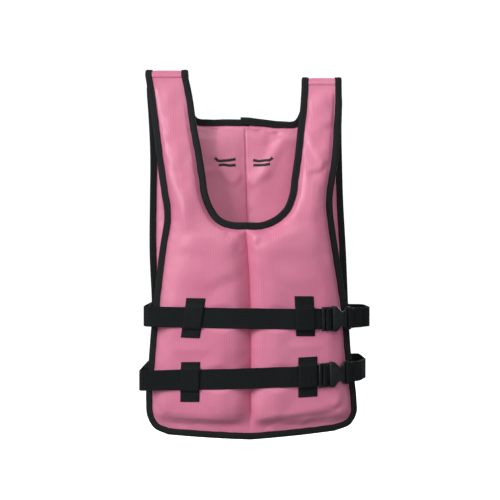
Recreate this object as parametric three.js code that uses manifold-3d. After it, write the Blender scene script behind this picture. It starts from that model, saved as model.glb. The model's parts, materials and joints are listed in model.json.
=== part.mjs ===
// A buoyancy vest for an adult, hanging by its two folded shoulder straps.
// Two foam-padded panels of coated cloth, bound with woven tape, and two webbing belts with buckles.
// Millimetres, +Z up. The front faces -Y, +X is to the right of someone who looks at the front.
// The origin lies midway between the two shoulder folds, at the inside of the fold.
import * as THREE from 'three';
import { mergeVertices } from 'three/addons/utils/BufferGeometryUtils.js';
import Module from 'manifold-3d';

const wasm = await Module();
wasm.setup();

// Overall form
const bodyLength = 689.5;       // hem up to the axis of the shoulder fold
const halfWidth = 198;        // centre line out to the bound side edge, near the hem
const strapInner = 0.5;       // share of halfWidth where the straps begin
const hemLean = 13;           // the hem hangs this far to the right of the shoulders
const shoulderDrop = 14.6;    // the right fold hangs this much lower than the left
const foldRadius = 8;         // inside of the strap where it folds over the shoulder
const torsoGap = 46;          // free space between the two pads at the belts
const sideBow = 23;           // how far the belts draw each side edge in from the pad's middle
const valleyDrift = 3.6;      // the front seam wanders this far left of the middle at the neck
const closeFrom = 0.62;       // height share where the two panels start to close up to the folds
const bowUpTo = 0.45;         // height share up to which the side edges are drawn in fully
const leanUpTo = 0.33;        // height share up to which the panels lean fully
const frontDropFrom = 0.55;   // height shares from which the shoulders' slope is spread
const backDropFrom = 0.8;

// Pads and cloth
const padThick = 34;          // foam pad with its cover
const padRound = 55;          // distance over which a pad rises from its flat seam edge
const clothEdge = 2.6;        // cover layers alone, where they are bound
const outerShare = 0.62;      // share of the pad's thickness that bulges outward
const valleyDepth = 0.5;      // share of the thickness taken by the sewn middle channel
const valleyWidth = 24;       // half width of that channel
const clearance = 0.4;        // between separate pieces that lie against each other
const sideBulge = 12;         // the belts stand this far out from the pads' middle sheet at the sides
const landAt = 0.6;           // share of halfWidth where a belt leaves the pad for the side
const slack = 0.6;            // webbing bridges the small unevenness of a pad
const padTopEnd = 0.9;        // webbing lies on the pad up to this share of halfWidth

// Binding tape
const tapeWidth = 13;
const tapeWall = 1.4;
const tapeMargin = 1.5;       // flat cloth that shows past the tape before the foam starts
const seamDown = 14;          // shoulder seam, measured down from the crease on the front

// Webbing, keepers and hang loop
const webbingWidth = 38;
const webbingThick = 2;
const keeperWidth = 36;
const keeperTall = 74;
const keeperThick = 1.6;
const keeperEase = 0.2;       // added to the clearance under a keeper
const keeperHop = 5;          // from the belt's edge out to where the keeper lies on the pad again
const tailLength = 38;        // free end turned back under the belt at the buckle
const tailEase = 10;          // the belt has risen over that end this far before it
const tailRamp = 30;          // length over which it rises
const flapLength = 26;        // end sewn back on itself at the plug's bar
const flapRise = 9;           // over this length past the plug the flap comes down to the belt
const flapLip = 1.5;          // the flap stays level this far past the plug
const tightBend = 2;          // radius of the webbing's middle round a bar
const barBend = 3;
const easyBend = 6;
const flapBend = 10;
const runEnd = 12;            // the front run ends this far before the buckle
const tailStart = 14;         // the tail lies on the pad again this far before it
const loopWidth = 20;
const loopThick = 2;
const loopRise = 10;          // how far the hang loop stands off the back
const tackLength = 36;        // sewn-down end of the hang loop
const tackGap = 38;           // free middle of the hang loop
const tackUp = 0.776;         // height of the hang loop, as a share of bodyLength

// Side-release buckle, lengths along the belt
const barWidth = 4;           // end bar and middle bar of the ladder
const slotWidth = 6.5;
const socketLength = 44;
const plugLength = 18.5;
const frameThick = 4;
const frameHalfHeight = 22.5;
const bodyThick = 10.5;
const bodyHalfHeight = 24;
const mouthHalfHeight = 13.5;
const wall = 2.2;
const fit = 0.5;              // clearance of the prongs in the socket
const frameJoin = 4;          // overlap of the ladder frame and the socket's body
const bodyDrop = 1.6;         // the body reaches this far below the frame
const windowFrom = 13;        // the side windows, measured back from the socket's mouth
const windowTo = 4;
const windowEdge = 0.6;
const tongueHalf = 2.5;
const prongWidth = 3;
const buttonInset = 9;        // the release buttons end this far inside the body's height
const shoulderBack = 11;      // the socket narrows from here to its mouth
const shoulderDepth = 4;
const mouthBack = 5;
const buckleLift = 2.2;       // the buckle stands this far off the pad's crown

// Sizes that follow from the ones above
const tapeEdge = tapeWall + clearance;
const flatMargin = tapeWidth + tapeMargin;
const foldThick = clothEdge + fillAt(1) * (padThick - clothEdge);
const foldStand = foldRadius + (1 - outerShare) * foldThick;
const beltStand = torsoGap / 2 + (1 - outerShare) * padThick;
const foldAxis = -foldRadius;
const foldOuter = foldRadius + foldThick;
const seamAngle = Math.asin((foldOuter - seamDown) / foldOuter);
const frontEnd = 1 + (seamAngle * foldStand - clearance / 2) / bodyLength;
const backEnd = 1 + ((Math.PI - seamAngle) * foldStand - clearance / 2) / bodyLength;

// Layers of the front belt run at the buckle, out from the pad, and places along the buckle
const sideOut = beltStand + sideBulge;
const padReach = landAt * halfWidth;
const layer = webbingThick + clearance;
const tailOut = webbingThick / 2;
const beltOut = tailOut + layer;
const frameLow = beltOut + webbingThick / 2 + clearance;
const frameHigh = frameLow + frameThick;
const slotOne = barWidth;
const middleBar = slotOne + slotWidth;
const slotTwo = middleBar + barWidth;
const bodyStart = slotTwo + slotWidth;
const plugStart = socketLength + fit;
const plugEnd = plugStart + plugLength;
const plugBar = plugEnd - barWidth;
const slotHalf = webbingWidth / 2 + fit;
const bodyLow = frameLow - bodyDrop;
const bodyHigh = bodyLow + bodyThick;
const cavityLow = bodyLow + wall;
const cavityHigh = bodyHigh - wall;
const cavityHalf = mouthHalfHeight - wall;

// Finished outline of each panel, from the hem up to the shoulder seam.
// up is the height as a share of bodyLength, left and right are shares of halfWidth from the middle line.
// inUp, inLeft and inRight give the neck edge in the same way. lift raises the right side of a row.
// cuts is the number of steps to the next row.
const FRONT_ROWS = [
  { at: 'hem', up: 0.007, lift: 0.010, left: 0.800, right: 0.820, cuts: 2 },
  { at: 'corner', up: 0.024, lift: 0.010, left: 0.942, right: 0.982, cuts: 2 },
  { at: 'side', up: 0.056, lift: 0.008, left: 1.008, right: 1.042, cuts: 1 },
  { at: 'skirt', up: 0.098, left: 1.020, right: 1.041, cuts: 3 },
  { at: 'lower_belt', up: 0.220, left: 0.991, right: 0.987, cuts: 3 },
  { at: 'upper_belt', up: 0.348, left: 0.950, right: 0.950, cuts: 3 },
  { at: 'armhole', up: 0.470, left: 0.890, right: 0.897, cuts: 2 },
  { at: 'neck', up: 0.535, left: 0.853, right: 0.866, inUp: 0.596, inLeft: 0, inRight: 0, cuts: 2 },
  { at: 'neck_flat', up: 0.568, left: 0.828, right: 0.851, inUp: 0.597, inLeft: 0.149, inRight: 0.137, cuts: 2 },
  { at: 'neck_turn', up: 0.600, left: 0.807, right: 0.837, inUp: 0.609, inLeft: 0.254, inRight: 0.242, cuts: 2 },
  { at: 'neck_rise', up: 0.634, left: 0.805, right: 0.827, inUp: 0.638, inLeft: 0.327, inRight: 0.355, cuts: 1 },
  { at: 'neck_side', up: 0.668, left: 0.821, right: 0.829, inUp: 0.669, inLeft: 0.366, inRight: 0.402, cuts: 2 },
  { at: 'foot', up: 0.722, left: 0.845, right: 0.861, inUp: 0.724, inLeft: 0.393, inRight: 0.436, cuts: 2 },
  { at: 'strap_low', up: 0.785, left: 0.874, right: 0.901, inUp: 0.780, inLeft: 0.421, inRight: 0.470, cuts: 2 },
  { at: 'strap', up: 0.860, left: 0.903, right: 0.927, inUp: 0.860, inLeft: 0.469, inRight: 0.509, cuts: 2 },
  { at: 'strap_top', up: 0.940, left: 0.936, right: 0.955, inUp: 0.940, inLeft: 0.504, inRight: 0.549, cuts: 2 },
  { at: 'seam', up: frontEnd, left: 0.964, right: 0.961, inUp: frontEnd, inLeft: 0.543, inRight: 0.568, cuts: 0 },
];
const BACK_ROWS = [
  { at: 'hem', up: 0.012, left: 0.800, right: 0.820, cuts: 2 },
  { at: 'corner', up: 0.030, left: 0.942, right: 0.965, cuts: 2 },
  { at: 'side', up: 0.060, left: 1.003, right: 1.018, cuts: 1 },
  { at: 'skirt', up: 0.100, left: 1.014, right: 1.020, cuts: 3 },
  { at: 'lower_belt', up: 0.220, left: 1.005, right: 0.995, cuts: 3 },
  { at: 'upper_belt', up: 0.348, left: 0.985, right: 0.985, cuts: 4 },
  { at: 'waist', up: 0.521, left: 0.992, right: 0.978, cuts: 3 },
  { at: 'blade', up: 0.660, left: 0.981, right: 0.970, cuts: 3 },
  { at: 'neck', up: 0.790, left: 0.963, right: 0.968, inUp: 0.896, inLeft: 0, inRight: 0, cuts: 1 },
  { at: 'neck_flat', up: 0.830, left: 0.961, right: 0.967, inUp: 0.895, inLeft: 0.190, inRight: 0.180, cuts: 1 },
  { at: 'neck_turn', up: 0.860, left: 0.962, right: 0.968, inUp: 0.893, inLeft: 0.360, inRight: 0.370, cuts: 1 },
  { at: 'neck_rise', up: 0.888, left: 0.964, right: 0.970, inUp: 0.897, inLeft: 0.480, inRight: 0.500, cuts: 1 },
  { at: 'neck_side', up: 0.918, left: 0.967, right: 0.975, inUp: 0.924, inLeft: 0.525, inRight: 0.552, cuts: 1 },
  { at: 'strap', up: 0.962, left: 0.973, right: 0.980, inUp: 0.964, inLeft: 0.540, inRight: 0.572, cuts: 1 },
  { at: 'fold', up: 1.000, left: 0.968, right: 0.970, inUp: 1.000, inLeft: 0.548, inRight: 0.576, cuts: 4 },
  { at: 'seam', up: backEnd, left: 0.964, right: 0.961, inUp: backEnd, inLeft: 0.543, inRight: 0.568, cuts: 0 },
];

// Columns across each half of a panel, from the outer flat edge to the middle or the neck edge.
const COLUMNS = [0, 0.08, 0.24, 0.5, 0.76, 0.93, 1];

// left and right are where a belt turns round the side, as shares of halfWidth. turn is its radius there.
const BELTS = [
  { name: 'upper', up: 0.336, rise: -0.012, left: 1.014, right: 1.179, turn: 14, buckleAt: 0.660, angle: 24 },
  { name: 'lower', up: 0.1755, rise: 0.034, left: 1.051, right: 1.134, turn: 7, buckleAt: 0.630, angle: 20 },
];
// across is the keeper's middle as a share of halfWidth, shift its height against the belt, in mm.
const KEEPERS = [
  { name: 'upper_left', belt: 0, across: -0.535, shift: -1, skew: 0.16 },
  { name: 'upper_right', belt: 0, across: 0.516, shift: 5, skew: -0.02 },
  { name: 'lower_left', belt: 1, across: -0.566, shift: -4.5, skew: 0.02 },
  { name: 'lower_right', belt: 1, across: 0.541, shift: -2.5, skew: 0 },
];

const finish = (color, roughness) => new THREE.MeshStandardMaterial({ color, roughness, metalness: 0 });
const coatedCloth = finish(0xdb809f, 0.55);
const blackTape = finish(0x1b2625, 0.85);
const blackWebbing = finish(0x1f2928, 0.8);
const blackPlastic = finish(0x2c3332, 0.45);

// Share of the foam that fills the panel at a height: none in the hem, thin in the straps.
function fillAt(up) {
  const heights = [0, 0.045, 0.070, 0.110, 0.620, 0.740, 0.820, 0.900, 1.0];
  const fills = [0.02, 0.08, 0.70, 1.0, 1.0, 0.80, 0.48, 0.28, 0.12];
  return along(heights, fills, up);
}

function along(keys, values, at) {
  if (at <= keys[0]) return values[0];
  const next = keys.findIndex((key) => key >= at);
  if (next < 0) return values[values.length - 1];
  const share = (at - keys[next - 1]) / (keys[next] - keys[next - 1]);
  return THREE.MathUtils.lerp(values[next - 1], values[next], share);
}

const smooth = (from, to, at) => THREE.MathUtils.smoothstep(at, from, to);
const openAt = (up) => 1 - smooth(closeFrom, 1, up);
const standAt = (up) => foldStand + (beltStand - foldStand) * openAt(up);
const bowAt = (up) => sideBow * (1 - smooth(bowUpTo, 1, up));
const leanAt = (up) => hemLean * Math.min(1, (1 - Math.min(up, 1)) / (1 - leanUpTo));
const dropAt = (side, x, up) => {
  const across = THREE.MathUtils.clamp(x / (strapInner * halfWidth), -1, 1);
  return -across * (shoulderDrop / 2) * smooth(side < 0 ? frontDropFrom : backDropFrom, 1, up);
};

// Point of a panel's middle sheet, moved outward by offset. side is -1 for the front, 1 for the back.
function hung(side, x, up, offset) {
  const stand = standAt(up) - bowAt(up) * (x / halfWidth) ** 2 + offset;
  const drop = dropAt(side, x, up);
  if (up <= 1) {
    return new THREE.Vector3(x + leanAt(up), side * stand, foldAxis - (1 - up) * bodyLength + drop);
  }
  const turn = ((up - 1) * bodyLength) / foldStand;
  return new THREE.Vector3(x, side * stand * Math.cos(turn), foldAxis + stand * Math.sin(turn) + drop);
}

// How far a pad has risen at a distance from its flat edge, 0 to 1.
const domeAt = (distance, radius) => Math.sqrt(1 - (1 - Math.min(Math.max(distance / radius, 0), 1)) ** 2);
const middleAt = (side, up) => (side < 0 ? -valleyDrift * smooth(0.4, 0.6, up) : 0);

// Flat points are THREE.Vector2: x from the middle line, y up from the hem along the cloth.
const flat = (x, up) => new THREE.Vector2(x, up * bodyLength);
const upOf = (point) => point.y / bodyLength;

// A smooth line through table rows, with each row's number of cuts.
function rail(points, rows) {
  const at = (i) => points[Math.min(Math.max(i, 0), points.length - 1)];
  const line = [];
  for (let i = 0; i < points.length - 1; i++) {
    const around = [at(i - 1), at(i), at(i + 1), at(i + 2)].map((p) => new THREE.Vector3(p.x, p.y, 0));
    const curve = new THREE.CatmullRomCurve3(around, false, 'catmullrom', 0.5);
    const first = i === 0 ? 0 : 1 / 3;
    const open = i === 0 || i === points.length - 2;
    for (let c = 0; c < rows[i].cuts; c++) {
      const share = c / rows[i].cuts;
      const p = open ? mixed(at(i), at(i + 1), share) : curve.getPoint(first + share / 3);
      line.push(new THREE.Vector2(p.x, p.y));
    }
  }
  line.push(points[points.length - 1].clone());
  return line;
}

const mixed = (a, b, share) => a.clone().lerp(b, share);

// Directions into the cloth along an outline, with level ones at the two seam ends.
function inwards(line, hand) {
  return line.map((point, i) => {
    if (i === 0 || i === line.length - 1) return new THREE.Vector2(-Math.sign(point.x) * hand, 0);
    const run = line[i + 1].clone().sub(line[i - 1]).normalize();
    return new THREE.Vector2(-run.y * hand, run.x * hand);
  });
}

// Lays out one panel flat: its bound edges, the flat margin inside them and the grid of each half.
function panelLayout(rows, side) {
  const neckRows = rows.filter((row) => row.inUp !== undefined);
  const outer = (key, hand) => rail(rows.map((row) => {
    const lift = hand > 0 ? row.lift ?? 0 : 0;
    return flat(hand * row[key] * halfWidth, row.up + lift);
  }), rows);
  const inner = (key, hand) => rail(neckRows.map((row, i) => {
    const drift = i === 0 ? middleAt(side, row.inUp) : 0;
    return flat(hand * row[key] * halfWidth + drift, row.inUp);
  }), neckRows);
  const outerLeft = outer('left', -1);
  const outerRight = outer('right', 1);
  const neckLeft = inner('inLeft', -1);
  const neckRight = inner('inRight', 1);
  const hemMiddle = flat(0, 0);
  const hemLeft = COLUMNS.slice(1, -1).map((c) => mixed(outerLeft[0], hemMiddle, c));
  const hemRight = COLUMNS.slice(1, -1).map((c) => mixed(outerRight[0], hemMiddle, c)).reverse();
  const edge = [...outerLeft.slice().reverse(), ...hemLeft, hemMiddle, ...hemRight, ...outerRight];
  const neck = [...neckLeft.slice().reverse(), ...neckRight.slice(1)];
  const ring = (line, hand) => {
    const into = inwards(line, hand);
    return line.map((point, i) => ({
      edge: point.clone().addScaledVector(into[i], tapeEdge),
      inset: point.clone().addScaledVector(into[i], flatMargin),
    }));
  };
  const edgeRing = ring(edge, 1);
  const neckRing = ring(neck, -1);
  const lastRow = outerLeft.length - 1;
  const neckStart = outerLeft.length - neckLeft.length;
  const hemSteps = COLUMNS.length - 1;
  const sideAt = (hand, k) => edgeRing[hand < 0 ? lastRow - k : edgeRing.length - 1 - lastRow + k].inset;
  const neckAt = (hand, k) => neckRing[neckLeft.length - 1 + hand * (k - neckStart)].inset;
  const seamAt = (k) => {
    const climb = THREE.MathUtils.inverseLerp(sideAt(-1, 0).y, sideAt(-1, neckStart).y, sideAt(-1, k).y);
    const y = THREE.MathUtils.lerp(edgeRing[lastRow + hemSteps].inset.y, neckAt(1, neckStart).y, climb);
    return new THREE.Vector2(middleAt(side, y / bodyLength), y);
  };
  const half = (hand) => outerLeft.map((_, k) => COLUMNS.map((column, j) => {
    if (k === 0) return edgeRing[lastRow + hemSteps + hand * (hemSteps - j)].inset;
    return mixed(sideAt(hand, k), k < neckStart ? seamAt(k) : neckAt(hand, k), column);
  }));
  return { side, edgeRing, neckRing, left: half(-1), right: half(1) };
}

function thicknessAt(layout, point) {
  const up = upOf(point);
  const reach = Math.min(distanceTo(layout.edgeRing, point), distanceTo(layout.neckRing, point));
  const fromMiddle = Math.abs(point.x - middleAt(layout.side, up));
  const channel = 1 - valleyDepth * (1 - domeAt(fromMiddle, valleyWidth));
  return clothEdge + (padThick - clothEdge) * fillAt(up) * domeAt(reach, padRound) * channel;
}

function distanceTo(ring, point) {
  let best = Infinity;
  const segment = new THREE.Line3();
  const near = new THREE.Vector3();
  const here = new THREE.Vector3(point.x, point.y, 0);
  for (let i = 0; i < ring.length - 1; i++) {
    segment.start.set(ring[i].inset.x, ring[i].inset.y, 0);
    segment.end.set(ring[i + 1].inset.x, ring[i + 1].inset.y, 0);
    segment.closestPointToPoint(here, true, near);
    best = Math.min(best, near.distanceTo(here));
  }
  return best;
}

// Collects faces, turning each one to look the way it is told.
class Faces {
  constructor() {
    this.positions = [];
  }

  triangle(a, b, c, facing) {
    const normal = b.clone().sub(a).cross(c.clone().sub(a));
    const points = normal.dot(facing) >= 0 ? [a, b, c] : [a, c, b];
    for (const p of points) this.positions.push(p.x, p.y, p.z);
  }

  quad(a, b, c, d, facing) {
    this.triangle(a, b, c, facing);
    this.triangle(a, c, d, facing);
  }

  geometry() {
    const geometry = new THREE.BufferGeometry();
    geometry.setAttribute('position', new THREE.Float32BufferAttribute(this.positions, 3));
    return closed(geometry);
  }
}

function closed(geometry) {
  geometry.deleteAttribute('normal');
  geometry.deleteAttribute('uv');
  const merged = mergeVertices(geometry, 1e-4);
  merged.computeVertexNormals();
  return merged;
}

// Closed body from equal rings of points. A ring is one face's points followed by the other's, reversed.
function loft(rings, isLoop = false) {
  const count = rings[0].length;
  const positions = [];
  const push = (...points) => points.forEach((p) => positions.push(p.x, p.y, p.z));
  const last = isLoop ? rings.length : rings.length - 1;
  for (let k = 0; k < last; k++) {
    const a = rings[k];
    const b = rings[(k + 1) % rings.length];
    for (let i = 0; i < count; i++) {
      const j = (i + 1) % count;
      push(a[i], b[i], b[j]);
      push(a[i], b[j], a[j]);
    }
  }
  if (!isLoop) {
    for (let i = 0; i < count / 2 - 1; i++) {
      const j = count - 1 - i;
      const start = rings[0];
      const end = rings[rings.length - 1];
      push(start[i], start[i + 1], start[j - 1]);
      push(start[i], start[j - 1], start[j]);
      push(end[i], end[j - 1], end[i + 1]);
      push(end[i], end[j], end[j - 1]);
    }
  }
  const geometry = new THREE.BufferGeometry();
  geometry.setAttribute('position', new THREE.Float32BufferAttribute(positions, 3));
  return outward(closed(geometry));
}

// Turns a closed body's faces out if its volume comes out negative.
function outward(geometry) {
  const p = geometry.attributes.position;
  const index = geometry.index.array;
  const at = (i) => new THREE.Vector3().fromBufferAttribute(p, index[i]);
  let volume = 0;
  for (let i = 0; i < index.length; i += 3) volume += at(i).dot(at(i + 1).cross(at(i + 2)));
  if (volume < 0) {
    for (let i = 0; i < index.length; i += 3) [index[i + 1], index[i + 2]] = [index[i + 2], index[i + 1]];
  }
  geometry.computeVertexNormals();
  return geometry;
}

// The two faces of the cloth at a flat point.
function facesAt(layout, point, thick) {
  const x = point.x;
  const up = upOf(point);
  return {
    out: hung(layout.side, x, up, outerShare * thick),
    in: hung(layout.side, x, up, (outerShare - 1) * thick),
  };
}

function panel(layout) {
  const faces = new Faces();
  const skin = (a, b, c, d) => {
    const facing = a.out.clone().sub(a.in);
    faces.quad(a.out, b.out, c.out, d.out, facing);
    faces.quad(a.in, b.in, c.in, d.in, facing.clone().negate());
  };
  const place = (point) => facesAt(layout, point, thicknessAt(layout, point));
  const flange = (point) => facesAt(layout, point, clothEdge);
  const ends = [];
  for (const grid of [layout.left, layout.right]) {
    const sheet = grid.map((row) => row.map(place));
    for (let k = 0; k < sheet.length - 1; k++) {
      for (let j = 0; j < COLUMNS.length - 1; j++) {
        skin(sheet[k][j], sheet[k][j + 1], sheet[k + 1][j + 1], sheet[k + 1][j]);
      }
    }
    ends.push(sheet[sheet.length - 1]);
  }
  const bound = (ring) => {
    const rim = ring.map((s) => ({ edge: flange(s.edge), inset: flange(s.inset) }));
    for (let i = 0; i < rim.length - 1; i++) {
      const [a, b] = [rim[i], rim[i + 1]];
      skin(a.edge, a.inset, b.inset, b.edge);
      faces.quad(a.edge.out, b.edge.out, b.edge.in, a.edge.in, a.edge.out.clone().sub(a.inset.out));
    }
    return rim;
  };
  const edgeRim = bound(layout.edgeRing);
  const neckRim = bound(layout.neckRing);
  const seam = [
    [edgeRim[0].edge, ...ends[0], neckRim[0].edge],
    [edgeRim[edgeRim.length - 1].edge, ...ends[1], neckRim[neckRim.length - 1].edge],
  ];
  const seamUp = upOf(layout.edgeRing[0].edge);
  const above = hung(layout.side, 0, seamUp + 0.001, 0).sub(hung(layout.side, 0, seamUp, 0));
  for (const run of seam) {
    for (let i = 0; i < run.length - 1; i++) {
      const [a, b] = [run[i], run[i + 1]];
      faces.quad(a.out, b.out, b.in, a.in, above);
    }
  }
  return faces.geometry();
}

// Tape folded round a bound edge, one U-shaped ring for each point of the edge.
function tapeRings(layout, ring) {
  const slot = clothEdge / 2 + clearance;
  const skin = slot + tapeWall;
  return ring.map((s) => {
    const edge = facesAt(layout, s.edge, clothEdge);
    const inset = facesAt(layout, s.inset, clothEdge);
    const start = edge.out.clone().add(edge.in).multiplyScalar(0.5);
    const into = inset.out.clone().add(inset.in).multiplyScalar(0.5).sub(start).normalize();
    const across = edge.out.clone().sub(edge.in).normalize();
    start.addScaledVector(into, -tapeEdge);
    const at = (inward, outwards) => {
      const point = start.clone().addScaledVector(into, inward);
      return point.addScaledVector(across, outwards);
    };
    return [
      at(tapeWidth, skin), at(0, skin), at(0, -skin), at(tapeWidth, -skin),
      at(tapeWidth, -slot), at(tapeWall, -slot), at(tapeWall, slot), at(tapeWidth, slot),
    ];
  });
}

// One closed tape runs along the front edge and back along the back edge, over both shoulder seams.
function tape(frontLayout, backLayout, key) {
  const front = tapeRings(frontLayout, frontLayout[key]);
  const back = tapeRings(backLayout, backLayout[key]).slice(1, -1).reverse();
  return loft([...front, ...back], true);
}

// Outer face of a pad at a height, with the middle channel bridged, as webbing lies on it.
function padFace(layout, x, up) {
  const point = flat(x, up);
  const reach = Math.min(distanceTo(layout.edgeRing, point), distanceTo(layout.neckRing, point));
  const rise = Math.abs(x) < padTopEnd * halfWidth ? domeAt(reach, padRound) : 0;
  const thick = clothEdge + (padThick - clothEdge) * fillAt(up) * rise;
  return hung(layout.side, x, up, outerShare * thick);
}

// Outermost place of that face over the height of a strip of webbing.
function restingFace(layout, x, up, width = webbingWidth) {
  const reach = width / 2 / bodyLength;
  const here = padFace(layout, x, up);
  const around = [up - reach, up, up + reach].map((level) => padFace(layout, x, level).y);
  here.y = layout.side < 0 ? Math.min(...around) : Math.max(...around);
  return here;
}

// Plan path with rounded corners: each corner is {x, y, r}.
function roundedPath(corners) {
  const path = [];
  corners.forEach((corner, i) => {
    const here = new THREE.Vector2(corner.x, corner.y);
    if (!corner.r || i === 0 || i === corners.length - 1) {
      path.push(here);
      return;
    }
    const before = new THREE.Vector2(corners[i - 1].x, corners[i - 1].y).sub(here);
    const after = new THREE.Vector2(corners[i + 1].x, corners[i + 1].y).sub(here);
    const room = Math.min(before.length(), after.length()) * 0.49;
    const cosine = before.normalize().dot(after.normalize());
    const angle = Math.acos(THREE.MathUtils.clamp(cosine, -1, 1));
    const cut = Math.min(corner.r / Math.tan(angle / 2), room);
    const from = here.clone().addScaledVector(before, cut);
    const to = here.clone().addScaledVector(after, cut);
    const bend = new THREE.QuadraticBezierCurve(from, here, to);
    path.push(...bend.getPoints(corner.steps ?? 4));
  });
  return path;
}

// Webbing that stands on its edge along a plan path.
function ribbon(path, width, thick, heightAt) {
  const rings = path.map((point, i) => {
    const before = path[Math.max(i - 1, 0)];
    const after = path[Math.min(i + 1, path.length - 1)];
    const a = point.clone().sub(before);
    const b = after.clone().sub(point);
    const run = a.normalize().add(b.normalize()).normalize();
    const turn = Math.max(run.dot(b.lengthSq() > 0 ? b : a), 0.5);
    const side = new THREE.Vector2(-run.y, run.x).multiplyScalar(thick / 2 / turn);
    const z = heightAt(point);
    const at = (hand, rise) => {
      const plan = point.clone().addScaledVector(side, hand);
      return new THREE.Vector3(plan.x, plan.y, z + rise * width / 2);
    };
    return [at(1, 1), at(1, -1), at(-1, -1), at(-1, 1)];
  });
  return loft(rings);
}

// Where a belt and its buckle lie. Plan points are (along the buckle, out from the pad).
function beltFrame(row, layouts) {
  const centre = hung(-1, 0, row.up, 0);
  const start = restingFace(layouts.front, row.buckleAt * halfWidth, row.up);
  const angle = THREE.MathUtils.degToRad(row.angle);
  const origin = new THREE.Vector2(start.x, start.y - clearance - buckleLift);
  const run = new THREE.Vector2(Math.cos(angle), Math.sin(angle));
  const off = new THREE.Vector2(Math.sin(angle), -Math.cos(angle));
  const at = (length, out) => origin.clone().addScaledVector(run, length).addScaledVector(off, out);
  const heightAt = (point) => centre.z + row.rise * (point.x - centre.x);
  return { row, at, heightAt };
}

// Height of the belt's middle above the pad on its front run: it rises where its tail lies under it.
function frontOffset(x, buckleX) {
  const tailEnd = buckleX - tailLength - tailEase;
  const tailShare = smooth(tailEnd - tailRamp, tailEnd, x);
  return slack + clearance + webbingThick / 2 + tailShare * (layer + buckleLift / 2);
}

// Middle of a belt's front run: on the pad, and straight from there to the turn on the left.
function frontRun(row, layout, x) {
  const landing = Math.max(x, -padReach);
  const rest = restingFace(layout, landing, row.up).y - frontOffset(landing, row.buckleAt * halfWidth);
  const share = (landing - x) / (row.left * halfWidth - padReach);
  return THREE.MathUtils.lerp(rest, -sideOut, share);
}

function beltPath(frame, layouts) {
  const { row, at } = frame;
  const corner = (point, r = 0, steps = 4) => ({ x: point.x, y: point.y, r, steps });
  const drape = (layout, from, to, count, offset) => {
    const run = [];
    for (let i = 0; i <= count; i++) {
      const x = THREE.MathUtils.lerp(from, to, i / count);
      const p = restingFace(layout, x, row.up);
      run.push(corner(new THREE.Vector2(p.x, p.y + layout.side * offset(x))));
    }
    return run;
  };
  const lean = leanAt(row.up);
  const front = [];
  for (let i = 0; i <= 15; i++) {
    const x = THREE.MathUtils.lerp(-padReach, row.buckleAt * halfWidth - runEnd, i / 15);
    front.push(corner(new THREE.Vector2(x + lean, frontRun(row, layouts.front, x))));
  }
  const right = row.right * halfWidth + lean;
  const left = -row.left * halfWidth + lean;
  const buckleX = row.buckleAt * halfWidth;
  const barTop = frameHigh + clearance + webbingThick / 2;
  const plain = () => slack + clearance + webbingThick / 2;
  const legOne = middleBar - clearance * 2 - webbingThick / 2;
  const legTwo = slotTwo + clearance * 2 + webbingThick / 2;
  const plugLeg = plugBar - clearance * 2 - webbingThick / 2;
  return roundedPath([
    corner(at(plugEnd + flapLength, beltOut + layer)),
    corner(at(plugEnd + flapRise, beltOut + layer), easyBend, 3),
    corner(at(plugEnd + flapLip, barTop), barBend, 3),
    corner(at(plugLeg, barTop), tightBend, 3),
    corner(at(plugLeg, beltOut), tightBend, 3),
    corner(at(plugEnd + flapLength + webbingThick, beltOut), flapBend, 3),
    corner(new THREE.Vector2(right, -sideOut * 0.1), row.turn, 4),
    corner(new THREE.Vector2(right - 3, sideOut), row.turn, 4),
    ...drape(layouts.back, padReach, -padReach, 14, plain),
    corner(new THREE.Vector2(left, sideOut), row.turn, 4),
    corner(new THREE.Vector2(left, -sideOut), row.turn, 4),
    ...front,
    corner(at(slotOne - 1, beltOut), barBend, 3),
    corner(at(legOne, beltOut + 1), tightBend, 3),
    corner(at(legOne, barTop), tightBend, 3),
    corner(at(legTwo, barTop), tightBend, 3),
    corner(at(legTwo, tailOut), tightBend, 3),
    corner(at(0, tailOut), easyBend, 2),
    ...drape(layouts.front, buckleX - tailStart, buckleX - tailLength, 3, plain),
  ]);
}

// A strip of webbing sewn to the pad above and below a belt, standing off where the belt passes.
function keeper(row, frame, layouts) {
  const { row: belt } = frame;
  const middle = row.across * halfWidth;
  const beltHalf = webbingWidth / 2;
  const half = keeperTall / 2;
  const steps = [
    { z: row.shift - half, over: 0 }, { z: -beltHalf - keeperHop, over: 0 }, { z: -beltHalf - 1, over: 1 },
    { z: 0, over: 1 }, { z: beltHalf + 1, over: 1 }, { z: beltHalf + keeperHop, over: 0 },
    { z: row.shift + half, over: 0 },
  ];
  const columns = [-0.5, -0.17, 0.17, 0.5];
  const rings = steps.map((step) => {
    const low = [];
    const high = [];
    for (const column of columns) {
      const x = middle + column * keeperWidth + row.skew * step.z;
      const z = step.z + belt.rise * x;
      const here = padFace(layouts.front, x, belt.up + z / bodyLength);
      const beltTop = frontRun(belt, layouts.front, x) - webbingThick / 2;
      const rest = here.y - clearance - keeperEase;
      const y = step.over ? Math.min(rest, beltTop - clearance - keeperEase) : rest;
      low.push(new THREE.Vector3(here.x, y, here.z));
      high.push(new THREE.Vector3(here.x, y - keeperThick, here.z));
    }
    return [...high, ...low.reverse()];
  });
  return loft(rings);
}

// Extruded front view of a buckle part: outline points are (along, height), thick from low to high.
function plate(outline, low, high, bevel) {
  const shape = new THREE.Shape(outline.map(([l, z]) => new THREE.Vector2(l, z)));
  const geometry = new THREE.ExtrudeGeometry(shape, {
    depth: high - low - 2 * bevel, bevelEnabled: bevel > 0, bevelThickness: bevel, bevelSize: bevel,
    bevelOffset: -bevel, bevelSegments: 1, curveSegments: 6,
  });
  geometry.translate(0, 0, low + bevel);
  return geometry;
}

const rectangle = (from, to, half) => [[from, -half], [to, -half], [to, half], [from, half]];
const bothSides = (upper) => [...upper, ...upper.slice().reverse().map(([l, z]) => [l, -z])];

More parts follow.
